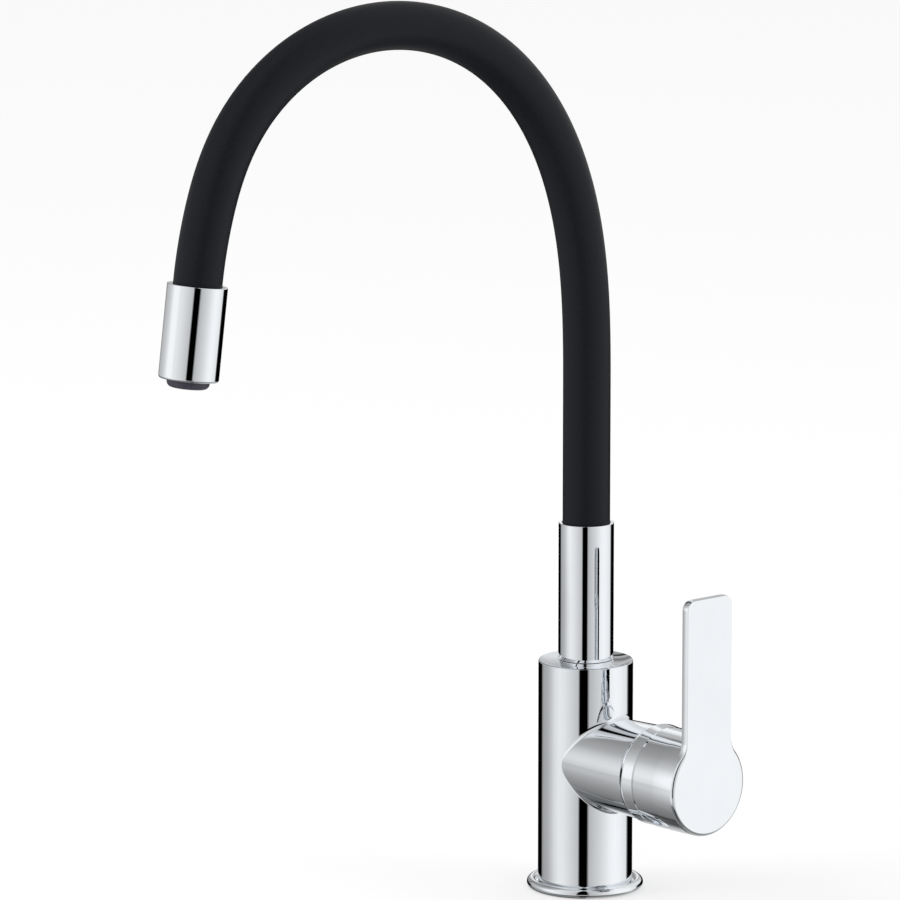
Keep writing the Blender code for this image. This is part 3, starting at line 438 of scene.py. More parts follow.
def body_skin():
    """Wall of the body with the screw's hole, its foot and dished top, the root blend and the branch."""
    skin = Skin()
    quarter = 40
    # Azimuth, and height over the branch's axis, at which the rolled ball touches the body
    touch = []
    for i in range(quarter + 1):
        centre, on_body, _ = rolled(math.pi / 2 * (1 - i / quarter))
        spot = centre - on_body * BLEND
        touch.append((math.atan2(spot.y, spot.x), spot.z - BRANCH_Z))
    widest = touch[-1][0]
    columns = list(touch)
    left, across, rest = 4, 8, 84
    columns += [(widest + (SCREW_LEFT - widest) * i / left, 0) for i in range(1, left)]
    first = len(columns)
    columns += [(SCREW_LEFT + (SCREW_RIGHT - SCREW_LEFT) * i / across, 0) for i in range(across + 1)]
    last = len(columns) - 1
    columns += [(SCREW_RIGHT + (2 * math.pi - widest - SCREW_RIGHT) * i / rest, 0) for i in range(1, rest)]
    columns += [(2 * math.pi - a, h) for a, h in reversed(touch[1:])]
    angles = [a for a, _ in columns]

    top = BODY_TOP - RIM
    low_row, high_row, over = 4, 10, 3
    middle = high_row - low_row
    below, above = SCREW_Z - SCREW_WINDOW, SCREW_Z + SCREW_WINDOW
    spots = [BRANCH_Z + (below - BRANCH_Z) * i / low_row for i in range(low_row)]
    spots += [below + (above - below) * i / middle for i in range(middle + 1)]
    spots += [above + (top - above) * i / over for i in range(1, over + 1)]
    shares = [(z - BRANCH_Z) / (top - BRANCH_Z) for z in spots]
    foot = BODY_FOOT + RIM

    def wall(a, z):
        c, s = math.cos(a), math.sin(a)
        return (BODY_R * c, BODY_R * s, z), (c, s, 0)

    upper = [[wall(a, BRANCH_Z + h + (top - BRANCH_Z - h) * t) for t in shares] for a, h in columns]
    under = 6
    lower = []
    for a, h in columns:
        lower.append([wall(a, BRANCH_Z - h + (foot - BRANCH_Z + h) * t / under) for t in range(under + 1)])
    count = len(columns)
    for i in range(count):
        j = (i + 1) % count
        for k in range(len(shares) - 1):
            if first <= i < last and low_row <= k < high_row:
                continue
            skin.face([upper[i][k], upper[j][k], upper[j][k + 1], upper[i][k + 1]])
        for k in range(under):
            skin.face([lower[i][k], lower[j][k], lower[j][k + 1], lower[i][k + 1]])
    hole = window(
        skin,
        wall,
        angles[first : last + 1],
        spots[low_row : high_row + 1],
        (math.pi / 2, SCREW_Z),
        SCREW_HOLE,
        (BODY_R, 1.0),
    )
    axis = Vector((0, 0, SCREW_Z))
    outer = [(p, (axis - Vector((p[0], 0, p[2]))).normalized()) for p, _ in hole]
    inner = [((p[0], SCREW_END_Y, p[2]), n) for p, n in outer]
    skin.strip([outer, inner], closed=True)

    # The wall's points of both profiles only give the direction of the wall, and are left out again
    profile = [(FOOT_BORE, BODY_FOOT), (BODY_R, BODY_FOOT, RIM), (BODY_R, BRANCH_Z)]
    revolve(skin, [rounded(profile)[0][:-1]], angles)
    profile = [(BODY_R, BRANCH_Z), (BODY_R, BODY_TOP, RIM), (DISH_RIM_R, BODY_TOP, DISH_RIM_ROUNDING)]
    profile += [(DISH_R, DISH_Z, DISH_ARC_R), (SEAT_R, SEAT_Z, SEAT_ROUNDING), (SPOUT_SOCKET_R, SEAT_Z)]
    revolve(skin, [rounded(profile, steps=8)[0][1:]], angles)

    around = 4 * quarter
    rows = []
    steps = 10
    for i in range(around):
        centre, on_body, on_branch = rolled(2 * math.pi * i / around)
        turn = on_body.angle(on_branch)
        row = []
        for k in range(steps + 1):
            t = k / steps
            blend = on_body * math.sin((1 - t) * turn) + on_branch * math.sin(t * turn)
            blend = (blend / math.sin(turn)).normalized()
            row.append((centre - blend * BLEND, blend))
        start = row[-1][0]
        end_x = END_X - END_ROUNDING
        reach = ROOT_R + TAPER * end_x
        phi = 2 * math.pi * i / around
        end = Vector((end_x, reach * math.cos(phi), BRANCH_Z + reach * math.sin(phi)))
        row += [(start.lerp(end, t), on_branch) for t in (0.25, 0.5, 0.75, 1)]
        rows.append(row)
    skin.strip(rows + rows[:1])
    profile = [(ROOT_R + TAPER * BRANCH_FROM_X, BRANCH_FROM_X), (END_R, END_X, END_ROUNDING)]
    profile += [(END_BORE, END_X), (END_BORE, END_BORE_X)]
    branch_angles = [-2 * math.pi * i / around + math.pi / 2 for i in range(around)]
    runs = rounded(profile, steps=5)
    runs[0] = runs[0][1:]
    revolve(skin, runs, branch_angles, ALONG_X)
    return skin


body = body_skin().piece("body_shell", CHROME, "chrome")
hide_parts("mixer_body")
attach(body, "mixer")


def bored_foot():
    """Spigot of the body in the foot ring, with its stud hole and the two supply threads."""

    def bar(name, x, y, radius, low, high, sides):
        made = bmesh.new()
        place = Matrix.Translation(Vector((x, y, (low + high) / 2)) * MM)
        size = {"radius1": radius * MM, "radius2": radius * MM, "depth": (high - low) * MM}
        bmesh.ops.create_cone(made, cap_ends=True, segments=sides, matrix=place, **size)
        mesh = bpy.data.meshes.new(name)
        made.to_mesh(mesh)
        made.free()
        thing = bpy.data.objects.new(name, mesh)
        bpy.context.scene.collection.objects.link(thing)
        return thing

    spigot = bar("body_spigot", 0, 0, SPIGOT_R, 0, BODY_FOOT + SPIGOT_SINKS, SPIGOT_SIDES)
    high = BODY_FOOT + OVERRUN
    cutters = [bar(name, x, y, r, -OVERRUN, high, HOLE_SIDES) for name, x, y, r in PORTS]
    for cutter in cutters:
        change = spigot.modifiers.new("hole", "BOOLEAN")
        change.operation = "DIFFERENCE"
        change.solver = "EXACT"
        change.object = cutter
    bpy.context.view_layer.update()
    ready = spigot.evaluated_get(bpy.context.evaluated_depsgraph_get())
    mesh = bpy.data.meshes.new_from_object(ready)
    spigot.modifiers.clear()
    spigot.data = mesh
    for cutter in cutters:
        bpy.data.objects.remove(cutter)
    mesh.shade_smooth()
    mesh.set_sharp_from_angle(angle=SHARP_FROM)
    mesh.materials.clear()
    mesh.materials.append(CHROME)
    return spigot


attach(bored_foot(), "mixer")

skin = Skin()
for _, x, y, r in PORTS:
    place = Matrix.Translation((x, y, 0))
    revolve(skin, rounded([(r, PORT_DEPTH), (r, BODY_FOOT)]), evenly(HOLE_SIDES), place)
    revolve(skin, rounded([(0.0, PORT_DEPTH), (r, PORT_DEPTH)]), evenly(HOLE_SIDES), place)
bores = skin.piece("body_bores", BRASS, "brass")
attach(bores, "mixer")

# Foot ring

RING_R = 29.6
LIP_R = 2.5
LIP_CENTRE = RING_R - LIP_R
LIP_END = 164.0
RING_BORE = 19.0
RING_TOP = 3.2
RING_TOP_R = 24.3
# Groove of the gasket in the underside
GROOVE_IN_R = 20.5
GROOVE_OUT_R = 26.0
GROOVE_DEPTH = 1.6

skin = Skin()
profile = [(RING_BORE, 0), (GROOVE_IN_R, 0), (GROOVE_IN_R, GROOVE_DEPTH), (GROOVE_OUT_R, GROOVE_DEPTH)]
profile += [(GROOVE_OUT_R, 0), (LIP_CENTRE, 0)]
revolve(skin, rounded(profile), evenly(RING_SIDES))
arc = [(LIP_CENTRE + r, h, nr, nh) for r, h, nr, nh in ball(LIP_R, LIP_R, -90, LIP_END, 40)[0]]
revolve(skin, [arc], evenly(RING_SIDES))
profile = [arc[-1][:2], (RING_TOP_R, RING_TOP), (RING_BORE, RING_TOP), (RING_BORE, 0)]
revolve(skin, rounded(profile), evenly(RING_SIDES))
ring = skin.piece("foot_ring", CHROME, "chrome")
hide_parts("base_flange")
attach(ring, "mixer")

# Dome between branch and lever

DOME_R = 28.5
DOME_INSIDE_R = 27.1
DOME_HOLE_R = 14.8
DOME_FOOT_X = 51.65
SKIRT_END_X = 47.3
SKIRT_R = 21.7
SKIRT_INSIDE_R = 20.3

skin = Skin()
foot_angle = math.degrees(math.asin((DOME_FOOT_X - PIVOT_X) / DOME_R))
hole_angle = math.degrees(math.acos(DOME_HOLE_R / DOME_R))
hole_inside = math.degrees(math.acos(DOME_HOLE_R / DOME_INSIDE_R))
skirt_inside = math.degrees(math.acos(SKIRT_INSIDE_R / DOME_INSIDE_R))
outside = ball(PIVOT_X, DOME_R, foot_angle, hole_angle, 24)
inside = ball(PIVOT_X, DOME_INSIDE_R, hole_inside, skirt_inside, 12, -1)
brim = [outside[0][-1][:2], inside[0][0][:2]]
skirt = [inside[0][-1][:2], (SKIRT_INSIDE_R, SKIRT_END_X), (SKIRT_R, SKIRT_END_X), (SKIRT_R, DOME_FOOT_X)]
skirt += [(outside[0][0][0], DOME_FOOT_X)]
for runs in (outside, inside, rounded(brim), rounded(skirt)):
    revolve(skin, runs, evenly(SIDES), ALONG_X)
dome = skin.piece("dome", CHROME, "chrome")
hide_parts("dome_cap")
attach(dome, "mixer")

# Lever

# Barrel, and where it starts to ease into the disc of the face
BARREL_R = 25.3
EASE_X = 76.0
# Face: the disc and how far it sits below the axis, half the paddle's width, and its top over the axis
FACE_R = 24.8
DROP = 0.35
HALF = 15.2
TOP = 96.0
CORNER = 5.0
FILLET = 12.0
# Thickness of the plate, slope of its side, and the roundings of its edges
FACE_X = 90.6
BACK_X = 86.4
LEAN = math.radians(17)
DISC_EDGE = 2.1
PADDLE_EDGE = 0.12
# Hole under the barrel that the plug sits in
PLUG_X = 71.15
PLUG_HOLE = 3.0
PLUG_WINDOW = 4.4
PLUG_FLOOR = 21.6
# Rear of the barrel: its edge, a raised bead, a slight waist, and the start of the plain barrel
REAR_BORE = 23.95
REAR_EDGE_R = 24.35
REAR_EDGE_X = 51.75
REAR_EDGE_ROUNDING = 0.05
BEAD_R = 25.55
BEAD_X = 54.4
BEAD_ROUNDING = 0.5
WAIST_R = 25.05
WAIST_X = 60.9
WAIST_ROUNDING = 0.6
REAR_X = 62.4
BARREL_FROM_X = 63.0
# How far the rear sits above the barrel's axis, and the length over which it gets there
REAR_RISE = 0.3
REAR_RUN = 6.0
# Hollow that turns over the dome, and the angle in degrees at which it ends, just off its pole
BOWL_R = 28.9
BOWL_END = 89.9
# How quickly radius and slope go over from the barrel to the disc
EASE_POWER = 1.5


def keyhole():
    """Outline of the lever's face as (y, z, normal y, normal z, share of disc), anticlockwise from below."""
    rise = math.sqrt((FACE_R + FILLET) ** 2 - (HALF + FILLET) ** 2)
    mid_y, mid_z = HALF + FILLET, rise - DROP
    meet = math.atan2(rise, mid_y)
    side = []
    disc_steps, fillet_steps, edge_steps, corner_steps = 48, 16, 8, 12
    for k in range(disc_steps + 1):
        a = -math.pi / 2 + (meet + math.pi / 2) * k / disc_steps
        side.append((FACE_R * math.cos(a), FACE_R * math.sin(a) - DROP, math.cos(a), math.sin(a), 1.0))
    for k in range(1, fillet_steps + 1):
        left = 1 - k / fillet_steps
        a = math.pi + meet * left
        c, s = math.cos(a), math.sin(a)
        side.append((mid_y + FILLET * c, mid_z + FILLET * s, -c, -s, left**2))
    for k in range(1, edge_steps + 1):
        side.append((HALF, mid_z + (TOP - CORNER - mid_z) * k / edge_steps, 1, 0, 0.0))
    for k in range(1, corner_steps + 1):
        a = math.pi / 2 * k / corner_steps
        c, s = math.cos(a), math.sin(a)
        side.append((HALF - CORNER + CORNER * c, TOP - CORNER + CORNER * s, c, s, 0.0))
    other = [(-y, z, -ny, nz, disc) for y, z, ny, nz, disc in reversed(side)]
    return side + other[:-1]


def crown_of(edge, lean):
    """Front end, radius and middle of the crowned band behind a front edge, whose slope there is lean."""
    back = BACK_X + PADDLE_EDGE * (1 - math.sin(LEAN))
    front = FACE_X - edge * (1 - math.sin(lean))
    radius = (front - back) / (math.sin(lean) + math.sin(LEAN))
    return front, radius, back + radius * math.sin(LEAN)


def disc_start(nz):
    """Slope, x and radius at which the eased barrel meets the rounded edge of the disc."""
    lean = LEAN
    for _ in range(ROUNDS):
        front, crown, _ = crown_of(DISC_EDGE, lean)
        radius = FACE_R - crown * (1 - math.cos(lean))
        lean = math.atan(EASE_POWER * (BARREL_R - radius + DROP * nz) / (front - EASE_X))
    return lean, front, radius


def plate_layers(nz, disc):
    """Side of the plate at a point of its outline as (inset, x, outward, along), crowned between its edges.

    The layers run from the flat back over the crowned middle to the flat front.
    """
    edge = PADDLE_EDGE + (DISC_EDGE - PADDLE_EDGE) * disc
    lean = LEAN + (disc_start(nz)[0] - LEAN) * disc
    front, crown, middle = crown_of(edge, lean)
    layers = []
    back_steps, crown_steps, front_steps = 6, 10, 12
    for k in range(back_steps + 1):
        a = -math.pi / 2 + (math.pi / 2 - LEAN) * k / back_steps
        inset = crown * (1 - math.cos(LEAN)) + PADDLE_EDGE * (math.cos(LEAN) - math.cos(a))
        x = middle - crown * math.sin(LEAN) + PADDLE_EDGE * (math.sin(a) + math.sin(LEAN))
        layers.append((inset, x, math.cos(a), math.sin(a)))
    for k in range(1, crown_steps):
        a = -LEAN + (lean + LEAN) * k / crown_steps
        layers.append((crown * (1 - math.cos(a)), middle + crown * math.sin(a), math.cos(a), math.sin(a)))
    for k in range(front_steps + 1):
        a = lean + (math.pi / 2 - lean) * k / front_steps
        inset = crown * (1 - math.cos(lean)) + edge * (math.cos(lean) - math.cos(a))
        layers.append((inset, front + edge * (math.sin(a) - math.sin(lean)), math.cos(a), math.sin(a)))
    return layers


def lever_skin():
    """Keyhole plate, eased barrel with the plug's hole, rear bead and the hollow over the dome."""
    skin = Skin()
    columns = []
    for y, z, ny, nz, disc in keyhole():
        column = []
        for inset, x, out, lean in plate_layers(nz, disc):
            column.append(((x, y - ny * inset, BRANCH_Z + z - nz * inset), (lean, ny * out, nz * out)))
        columns.append(column)
    skin.strip(columns + columns[:1])
    skin.face([(column[-1][0], (1, 0, 0)) for column in columns])
    skin.face([(column[0][0], (-1, 0, 0)) for column in columns])

    count = SIDES
    angles = evenly(count)
    window_xs = [PLUG_X + PLUG_WINDOW * share for share in (-1, -0.5, 0, 0.5, 1)]
    xs = [BARREL_FROM_X, *window_xs, EASE_X]
    ease = 10

    def wall(a, x, share=0.0):
        """Barrel, which eases from a circle on the axis into the rounded disc of the face."""
        c, s = math.cos(a), math.sin(a)
        lean, end_x, end_r = disc_start(-c)
        x += (end_x - x) * share
        radius = BARREL_R - (BARREL_R - end_r) * share**EASE_POWER
        height = BRANCH_Z - DROP * share**EASE_POWER - radius * c
        return (x, radius * s, height), (math.tan(lean) * share ** (EASE_POWER - 1), s, -c)

    grid = []
    for a in angles:
        grid.append([wall(a, x) for x in xs] + [wall(a, EASE_X, k / ease) for k in range(1, ease + 1)])
    cells = 4
    for i in range(count):
        j = (i + 1) % count
        for k in range(len(grid[0]) - 1):
            if (i < cells or i >= count - cells) and 1 <= k < len(window_xs):
                continue
            skin.face([grid[i][k], grid[j][k], grid[j][k + 1], grid[i][k + 1]])
    step = 2 * math.pi / count
    near = [step * i for i in range(-cells, cells + 1)]
    hole = window(skin, wall, near, window_xs, (0, PLUG_X), PLUG_HOLE, (BARREL_R, 1.0))
    outer = []
    for place, _ in hole:
        outer.append((place, Vector((PLUG_X - place[0], -place[1], 0)).normalized()))
    inner = [((p[0], p[1], BRANCH_Z - PLUG_FLOOR), n) for p, n in outer]
    skin.strip([outer, inner], closed=True)
    skin.face([(p, (0, 0, -1)) for p, _ in inner])

    profile = [(REAR_BORE, REAR_EDGE_X), (REAR_EDGE_R, REAR_EDGE_X, REAR_EDGE_ROUNDING)]
    profile += [(BEAD_R, BEAD_X, BEAD_ROUNDING), (WAIST_R, WAIST_X, WAIST_ROUNDING)]
    profile += [(BARREL_R, REAR_X, WAIST_ROUNDING), (BARREL_R, EASE_X)]
    run = rounded(profile, steps=8)[0][:-1] + [(BARREL_R, BARREL_FROM_X, 1, 0)]
    rows = []
    for r, x, out, lean in run:
        rise = REAR_RISE * min(1.0, max(0.0, (REAR_X - x) / REAR_RUN))
        slope = -REAR_RISE / REAR_RUN if 0 < rise < REAR_RISE else 0.0
        row = []
        for a in angles:
            c, s = math.cos(a), math.sin(a)
            row.append(((x, r * s, BRANCH_Z + rise - r * c), (lean + slope * out * c, out * s, -out * c)))
        rows.append(row)
    skin.strip(rows, closed=True)
    rim = math.degrees(math.asin((REAR_EDGE_X - PIVOT_X) / BOWL_R))
    revolve(skin, ball(PIVOT_X, BOWL_R, rim, BOWL_END, 24, -1), angles, ALONG_X)
    return skin


lever = lever_skin().piece("lever_skin", CHROME, "chrome")
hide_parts("lever_handle")
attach(lever, "lever")

# Riser and collar

RISER_R = 14.0
RISER_BORE = 12.3
RISER_FOOT = 118.7
RISER_TOP = 188.85
RISER_ROUNDING = 0.35
SEAM_ROUNDING = 0.25
MOUTH_ROUNDING = 0.3
COLLAR_BORE = 11.2
COLLAR_FOOT_R = 12.5
COLLAR_FOOT = 114.0
COLLAR_CHAMFER = 116.8
COLLAR_TOP = 118.4
CHAMFER_ROUNDING = 0.6
COLLAR_FOOT_ROUNDING = 0.2

skin = Skin()
profile = [(RISER_BORE, RISER_FOOT), (RISER_R, RISER_FOOT, SEAM_ROUNDING)]
profile += [(RISER_R, RISER_TOP, RISER_ROUNDING), (RISER_BORE, RISER_TOP, MOUTH_ROUNDING)]
profile += [(RISER_BORE, RISER_FOOT)]
revolve(skin, rounded(profile), evenly(SIDES), SPOUT)
riser = skin.piece("riser", CHROME, "chrome")
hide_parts("riser_sleeve")
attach(riser, "spout")

skin = Skin()
profile = [(COLLAR_BORE, COLLAR_FOOT), (COLLAR_FOOT_R, COLLAR_FOOT, COLLAR_FOOT_ROUNDING)]
profile += [(RISER_R, COLLAR_CHAMFER, CHAMFER_ROUNDING), (RISER_R, COLLAR_TOP, SEAM_ROUNDING)]
profile += [(COLLAR_BORE, COLLAR_TOP)]
revolve(skin, rounded(profile), evenly(SIDES), SPOUT)
collar = skin.piece("collar", CHROME, "chrome")
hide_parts("spout_collar")
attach(collar, "spout")

# Hose, bendable core and water hose along one centre line

# Name, replaced node, bore, radius, sides, look, slot
TUBES = (
    ("hose", "hose_sleeve", 9.3, 12.0, 96, SILICONE, "black_silicone"),
    ("bendable_core", "gooseneck_core", 7.0, 9.0, 32, STEEL, "steel"),
    ("inner_hose", "water_hose", 4.5, 6.3, 32, WHITE, "white_plastic"),
)
CROWN = 1 / 101
LEG = 1 / 249
# Length, first and last curvature of the straight run, ease-in, crown, ease-out and leg
RUNS = ((64.0, 0, 0), (192.0, 0, CROWN), (168.0, CROWN, CROWN), (40.0, CROWN, LEG), (32.4, LEG, LEG))
# Heights of the stations inside the riser, and the length inside the head
INSIDE_RISER = (131.6, 160.0, 188.0)
SOCKET = 14.0
STEPS = 1240
STEPS_PER_STATION = 10


def curvature(run):
    """Curvature of the hose at a distance from the riser's top."""
    for length, first, last in RUNS:
        if run <= length:
            return first + (last - first) * run / length
        run -= length
    return 0


def centre_line():
    """Stations (outward, height, heading) every few millimetres, from inside the riser to inside the head.

    Also gives the place and heading at which the head's upper rim sits.
    """
    out, height, heading, run = 0.0, RISER_TOP, 0.0, 0.0
    stations = [(0.0, inside, 0.0) for inside in INSIDE_RISER]
    step = sum(length for length, _, _ in RUNS) / STEPS
    for i in range(STEPS):
        if i % STEPS_PER_STATION == 0:
            stations.append((out, height, heading))
        heading += curvature(run + step / 2) * step / 2
        out += math.sin(heading) * step
        height += math.cos(heading) * step
        heading += curvature(run + step / 2) * step / 2
        run += step
    stations.append((out, height, heading))
    end = (out, height, heading)
    stations.append((out + math.sin(heading) * SOCKET, height + math.cos(heading) * SOCKET, heading))
    return stations, end


def tube_skin(stations, bore, outer, sides):
    """A tube along the stations, with flat ends."""
    skin = Skin()

    def loop(station, radius, sign):
        out, height, heading = station
        lift = Vector((0, math.cos(heading), math.sin(heading)))
        centre = Vector((0, -out, height))
        row = []
        for a in evenly(sides):
            way = Vector((1, 0, 0)) * math.cos(a) + lift * math.sin(a)
            row.append((SPOUT @ (centre + way * radius), SPOUT.to_3x3() @ way * sign))
        return row

    def cap(station, sign):
        out, height, heading = station
        way = SPOUT.to_3x3() @ Vector((0, -math.sin(heading), math.cos(heading))) * sign
        rows = [[(p, way) for p, _ in loop(station, r, 1)] for r in (bore, outer)]
        skin.strip(rows, closed=True)

    skin.strip([loop(s, outer, 1) for s in stations], closed=True)
    skin.strip([loop(s, bore, -1) for s in stations], closed=True)
    cap(stations[0], -1)
    cap(stations[-1], 1)
    return skin


stations, hose_end = centre_line()
for name, node, bore, outer, sides, look, slot in TUBES:
    tube = tube_skin(stations, bore, outer, sides).piece(name, look, slot)
    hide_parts(node)
    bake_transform(tube)

# Outlet head

out, height, heading = hose_end
HEAD = SPOUT @ Matrix.Translation((0, -out, height)) @ Matrix.Rotation(heading, 4, "X")
HEAD_R = 14.8
HEAD_LENGTH = 46.3
HEAD_RIM_ROUNDING = 0.4
HEAD_END_ROUNDING = 1.5
HEAD_BORE = 12.3
HEAD_BORE_DEPTH = 19.6
BORE_ROUNDING = 0.25
MOUTH_R = 11.2
MOUTH_FROM = 33.5
NOZZLE_BORE = 9.3
NOZZLE_RIM_R = 10.9
NOZZLE_R = 10.5
NOZZLE_FROM = 35.7
NOZZLE_END = 50.3
NOZZLE_ROUNDING = 2.9
STEP_ROUNDING = 0.1
OUTLET_R = 7.4
OUTLET_FROM = 48.9
OUTLET_ROUNDING = 0.2


def along_flow(skin, profile, sides, steps):
    """Turns a profile about the head's axis, with its lengths measured along the flow from the upper rim."""
    upwards = [(r, -h, *rest) for r, h, *rest in reversed(profile)]
    revolve(skin, rounded(upwards, steps), evenly(sides), HEAD @ Matrix.Rotation(math.pi, 4, "X"))


skin = Skin()
profile = [(HEAD_BORE, HEAD_BORE_DEPTH), (HEAD_BORE, 0, BORE_ROUNDING), (HEAD_R, 0, HEAD_RIM_ROUNDING)]
profile += [(HEAD_R, HEAD_LENGTH, HEAD_END_ROUNDING), (MOUTH_R, HEAD_LENGTH, OUTLET_ROUNDING)]
profile += [(MOUTH_R, MOUTH_FROM)]
along_flow(skin, profile, SIDES, steps=8)
head = skin.piece("head", CHROME, "chrome")
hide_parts("head_shell")
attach(head, "spout_head")

skin = Skin()
profile = [(NOZZLE_BORE, NOZZLE_FROM), (NOZZLE_RIM_R, NOZZLE_FROM), (NOZZLE_RIM_R, HEAD_LENGTH)]
profile += [(NOZZLE_R, HEAD_LENGTH, STEP_ROUNDING), (NOZZLE_R, NOZZLE_END, NOZZLE_ROUNDING)]
profile += [(OUTLET_R, NOZZLE_END, OUTLET_ROUNDING), (OUTLET_R, OUTLET_FROM)]
profile += [(NOZZLE_BORE, OUTLET_FROM), (NOZZLE_BORE, NOZZLE_FROM)]
along_flow(skin, profile, NOZZLE_SIDES, steps=10)
nozzle = skin.piece("nozzle", GREY, "grey_plastic")
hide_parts("aerator_housing")
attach(nozzle, "spout_head")

# Studio: floor, reflector walls, lamps and world


def emissive(name, build):
    """A material without the usual shader; build(tree, output) adds its nodes."""
    made = bpy.data.materials.new(name)
    made.use_nodes = True
    tree = made.node_tree
    tree.nodes.clear()
    build(tree, tree.nodes.new("ShaderNodeOutputMaterial"))
    return made


WALL_RADIUS = 1.2
WALL_MIDDLE = 0.07
WALL_COLUMNS = 720
# Rows of the walls in degrees of elevation, coarser in the floor and the dome
DOME_FROM = 55
ELEVATIONS = [*range(-88, -DOME_FROM, 4), *range(-DOME_FROM, DOME_FROM + 1), *range(DOME_FROM + 1, 89, 4)]

# All runs of stops below give a value by azimuth from the camera's side, in degrees to its right, by
# elevation in degrees, or by height in metres. Brightness of the upright walls by azimuth:
AROUND = (
    (-180, 0.0), (-135, 0.0), (-128.5, 0.33), (-123, 0.39), (-114, 0.43), (-106, 0.46), (-98, 0.54),
    (-91, 0.63), (-82, 0.77), (-68, 0.88), (-54, 0.84), (-36, 0.7), (-19, 0.56), (-15, 0.0), (3, 0.0),
    (8, 0.5), (20, 0.6), (34, 0.7), (48, 0.82), (62, 0.95), (76, 1.0), (92, 0.96), (106, 0.88),
    (116, 0.85), (123, 0.1), (126, 0.0), (180, 0.0),
)
# The left end of the reflector reaches further back higher up, where only the outlet head mirrors it
LEFT_END_ABOVE = ((-180, 0.3), (-153, 0.32), (-147, 0.33), (-132, 0.35), (-124, 0.39))
LEFT_END_HEIGHT = ((-9, 0.0), (0.0, 0.0), (0.05, 1.0), (9, 1.0))
# How the left wall and the front change with elevation, and which azimuths belong to them. Below the floor,
# which mirrors don't see, the walls stand in for it; the front's dark tones from 38 degrees down are painted
# shade, the floor's contact shadow round the foot.
LEFT_FADE = (
    (-90, 0.5), (-45, 0.5), (-35, 0.66), (-29, 0.75), (-21, 0.85), (-15, 1.0), (-8, 1.0), (-5, 1.2),
    (4, 1.38), (12, 1.34), (20, 1.16), (27, 0.94), (34, 0.84), (40, 0.76), (50, 0.74), (65, 1.0), (90, 1.2),
)
LEFT_PART = ((-180, 0.0), (-150, 0.0), (-132, 1.0), (-80, 1.0), (-60, 0.0), (180, 0.0))
FRONT_FADE_AND_PAINTED_SHADE = ((-90, 0.35), (-56, 0.25), (-38, 0.2), (-31, 0.8), (-24, 1.1), (-16, 1.0), (90, 1.0))
FRONT_PART = ((-180, 0.0), (-100, 0.0), (-70, 1.0), (100, 1.0), (125, 0.0), (180, 0.0))
# The back wall has its own tones high up and low down; low down, below the floor, its dark tones are painted
# shade of the floor under the faucet.
BACK_PART = ((-180, 1.0), (-142, 1.0), (-134, 0.0), (112, 0.0), (122, 1.0), (180, 1.0))
HIGH_BACK = (
    (-180, 1.0), (-178, 0.95), (-175, 0.74), (-171.5, 0.5), (-167, 0.53), (-163, 0.36), (-160.5, 0.2),
    (-158, 0.2), (-155.5, 0.32), (-153, 0.5), (-151, 0.48), (-149.5, 0.05), (-145.5, 0.05), (-143.5, 0.32),
    (-138, 0.42), (-130, 0.6), (110, 0.85), (150, 0.8), (168, 0.5), (176, 0.55), (179, 1.0), (180, 1.0),
)
HIGH_BACK_HEIGHT = ((-9, 0.0), (0.13, 0.0), (0.19, 1.0), (9, 1.0))
LOW_BACK_PAINTED_SHADE = ((-180, 0.66), (-170, 0.5), (-160, 0.27), (-151, 0.08), (-142, 0.26), (120, 0.3), (180, 0.66))
LOW_BACK_PAINTED_SHADE_HEIGHT = ((-9, 1.0), (-0.42, 1.0), (-0.3, 0.0), (9, 0.0))
# The dark gap in front turns grey in a band below, and the left back corner is dark near the floor, with
# painted shade of the floor under the faucet.
GAP_PART = ((-180, 0.0), (-18, 0.0), (-15, 1.0), (3, 1.0), (6, 0.0), (180, 0.0))
LOW_GAP = ((-90, 0.0), (-40, 0.0), (-34, 1.0), (-20, 1.0), (-17.4, 0.0), (90, 0.0))
LOW_GAP_TONE = 0.45
PAINTED_SHADE_CORNER_PART = ((-180, 1.0), (-138, 1.0), (-125, 0.0), (170, 0.0), (180, 1.0))
LOW_CORNER_PAINTED_SHADE = ((-90, 1.0), (-50, 1.0), (-42, 0.0), (90, 0.0))
PAINTED_SHADE_CORNER_TONE = 0.07


def along(stops, at):
    """Value at a place along a run of (place, value) stops."""
    for (a, first), (b, last) in zip(stops, stops[1:]):
        if a <= at <= b:
            return first + (last - first) * (at - a) / (b - a)
    return stops[-1][1]


def tone(beta, elevation, height):
    """Brightness of the reflector at an azimuth and elevation, both in degrees, and a height in metres."""
    upright = along(AROUND, beta)
    if beta < LEFT_END_ABOVE[-1][0]:
        upright += along(LEFT_END_HEIGHT, height) * (along(LEFT_END_ABOVE, beta) - upright)
    value = upright * (1 + along(LEFT_PART, beta) * (along(LEFT_FADE, elevation) - 1))
    # Low down the front darkens with painted shade: the floor's contact shadow round the foot
    value *= 1 + along(FRONT_PART, beta) * (along(FRONT_FADE_AND_PAINTED_SHADE, elevation) - 1)
    back = along(BACK_PART, beta)
    value += back * along(HIGH_BACK_HEIGHT, height) * (along(HIGH_BACK, beta) - value)
    # Low down the back wall darkens with painted shade of the floor under the faucet
    value += back * along(LOW_BACK_PAINTED_SHADE_HEIGHT, height) * (along(LOW_BACK_PAINTED_SHADE, beta) - value)
    value += along(GAP_PART, beta) * along(LOW_GAP, elevation) * (LOW_GAP_TONE - value)
    # The left back corner low down darkens with painted shade of the floor under the faucet
    value += along(PAINTED_SHADE_CORNER_PART, beta) * along(LOW_CORNER_PAINTED_SHADE, elevation) * (PAINTED_SHADE_CORNER_TONE - value)
    return max(0.0, min(1.0, value))


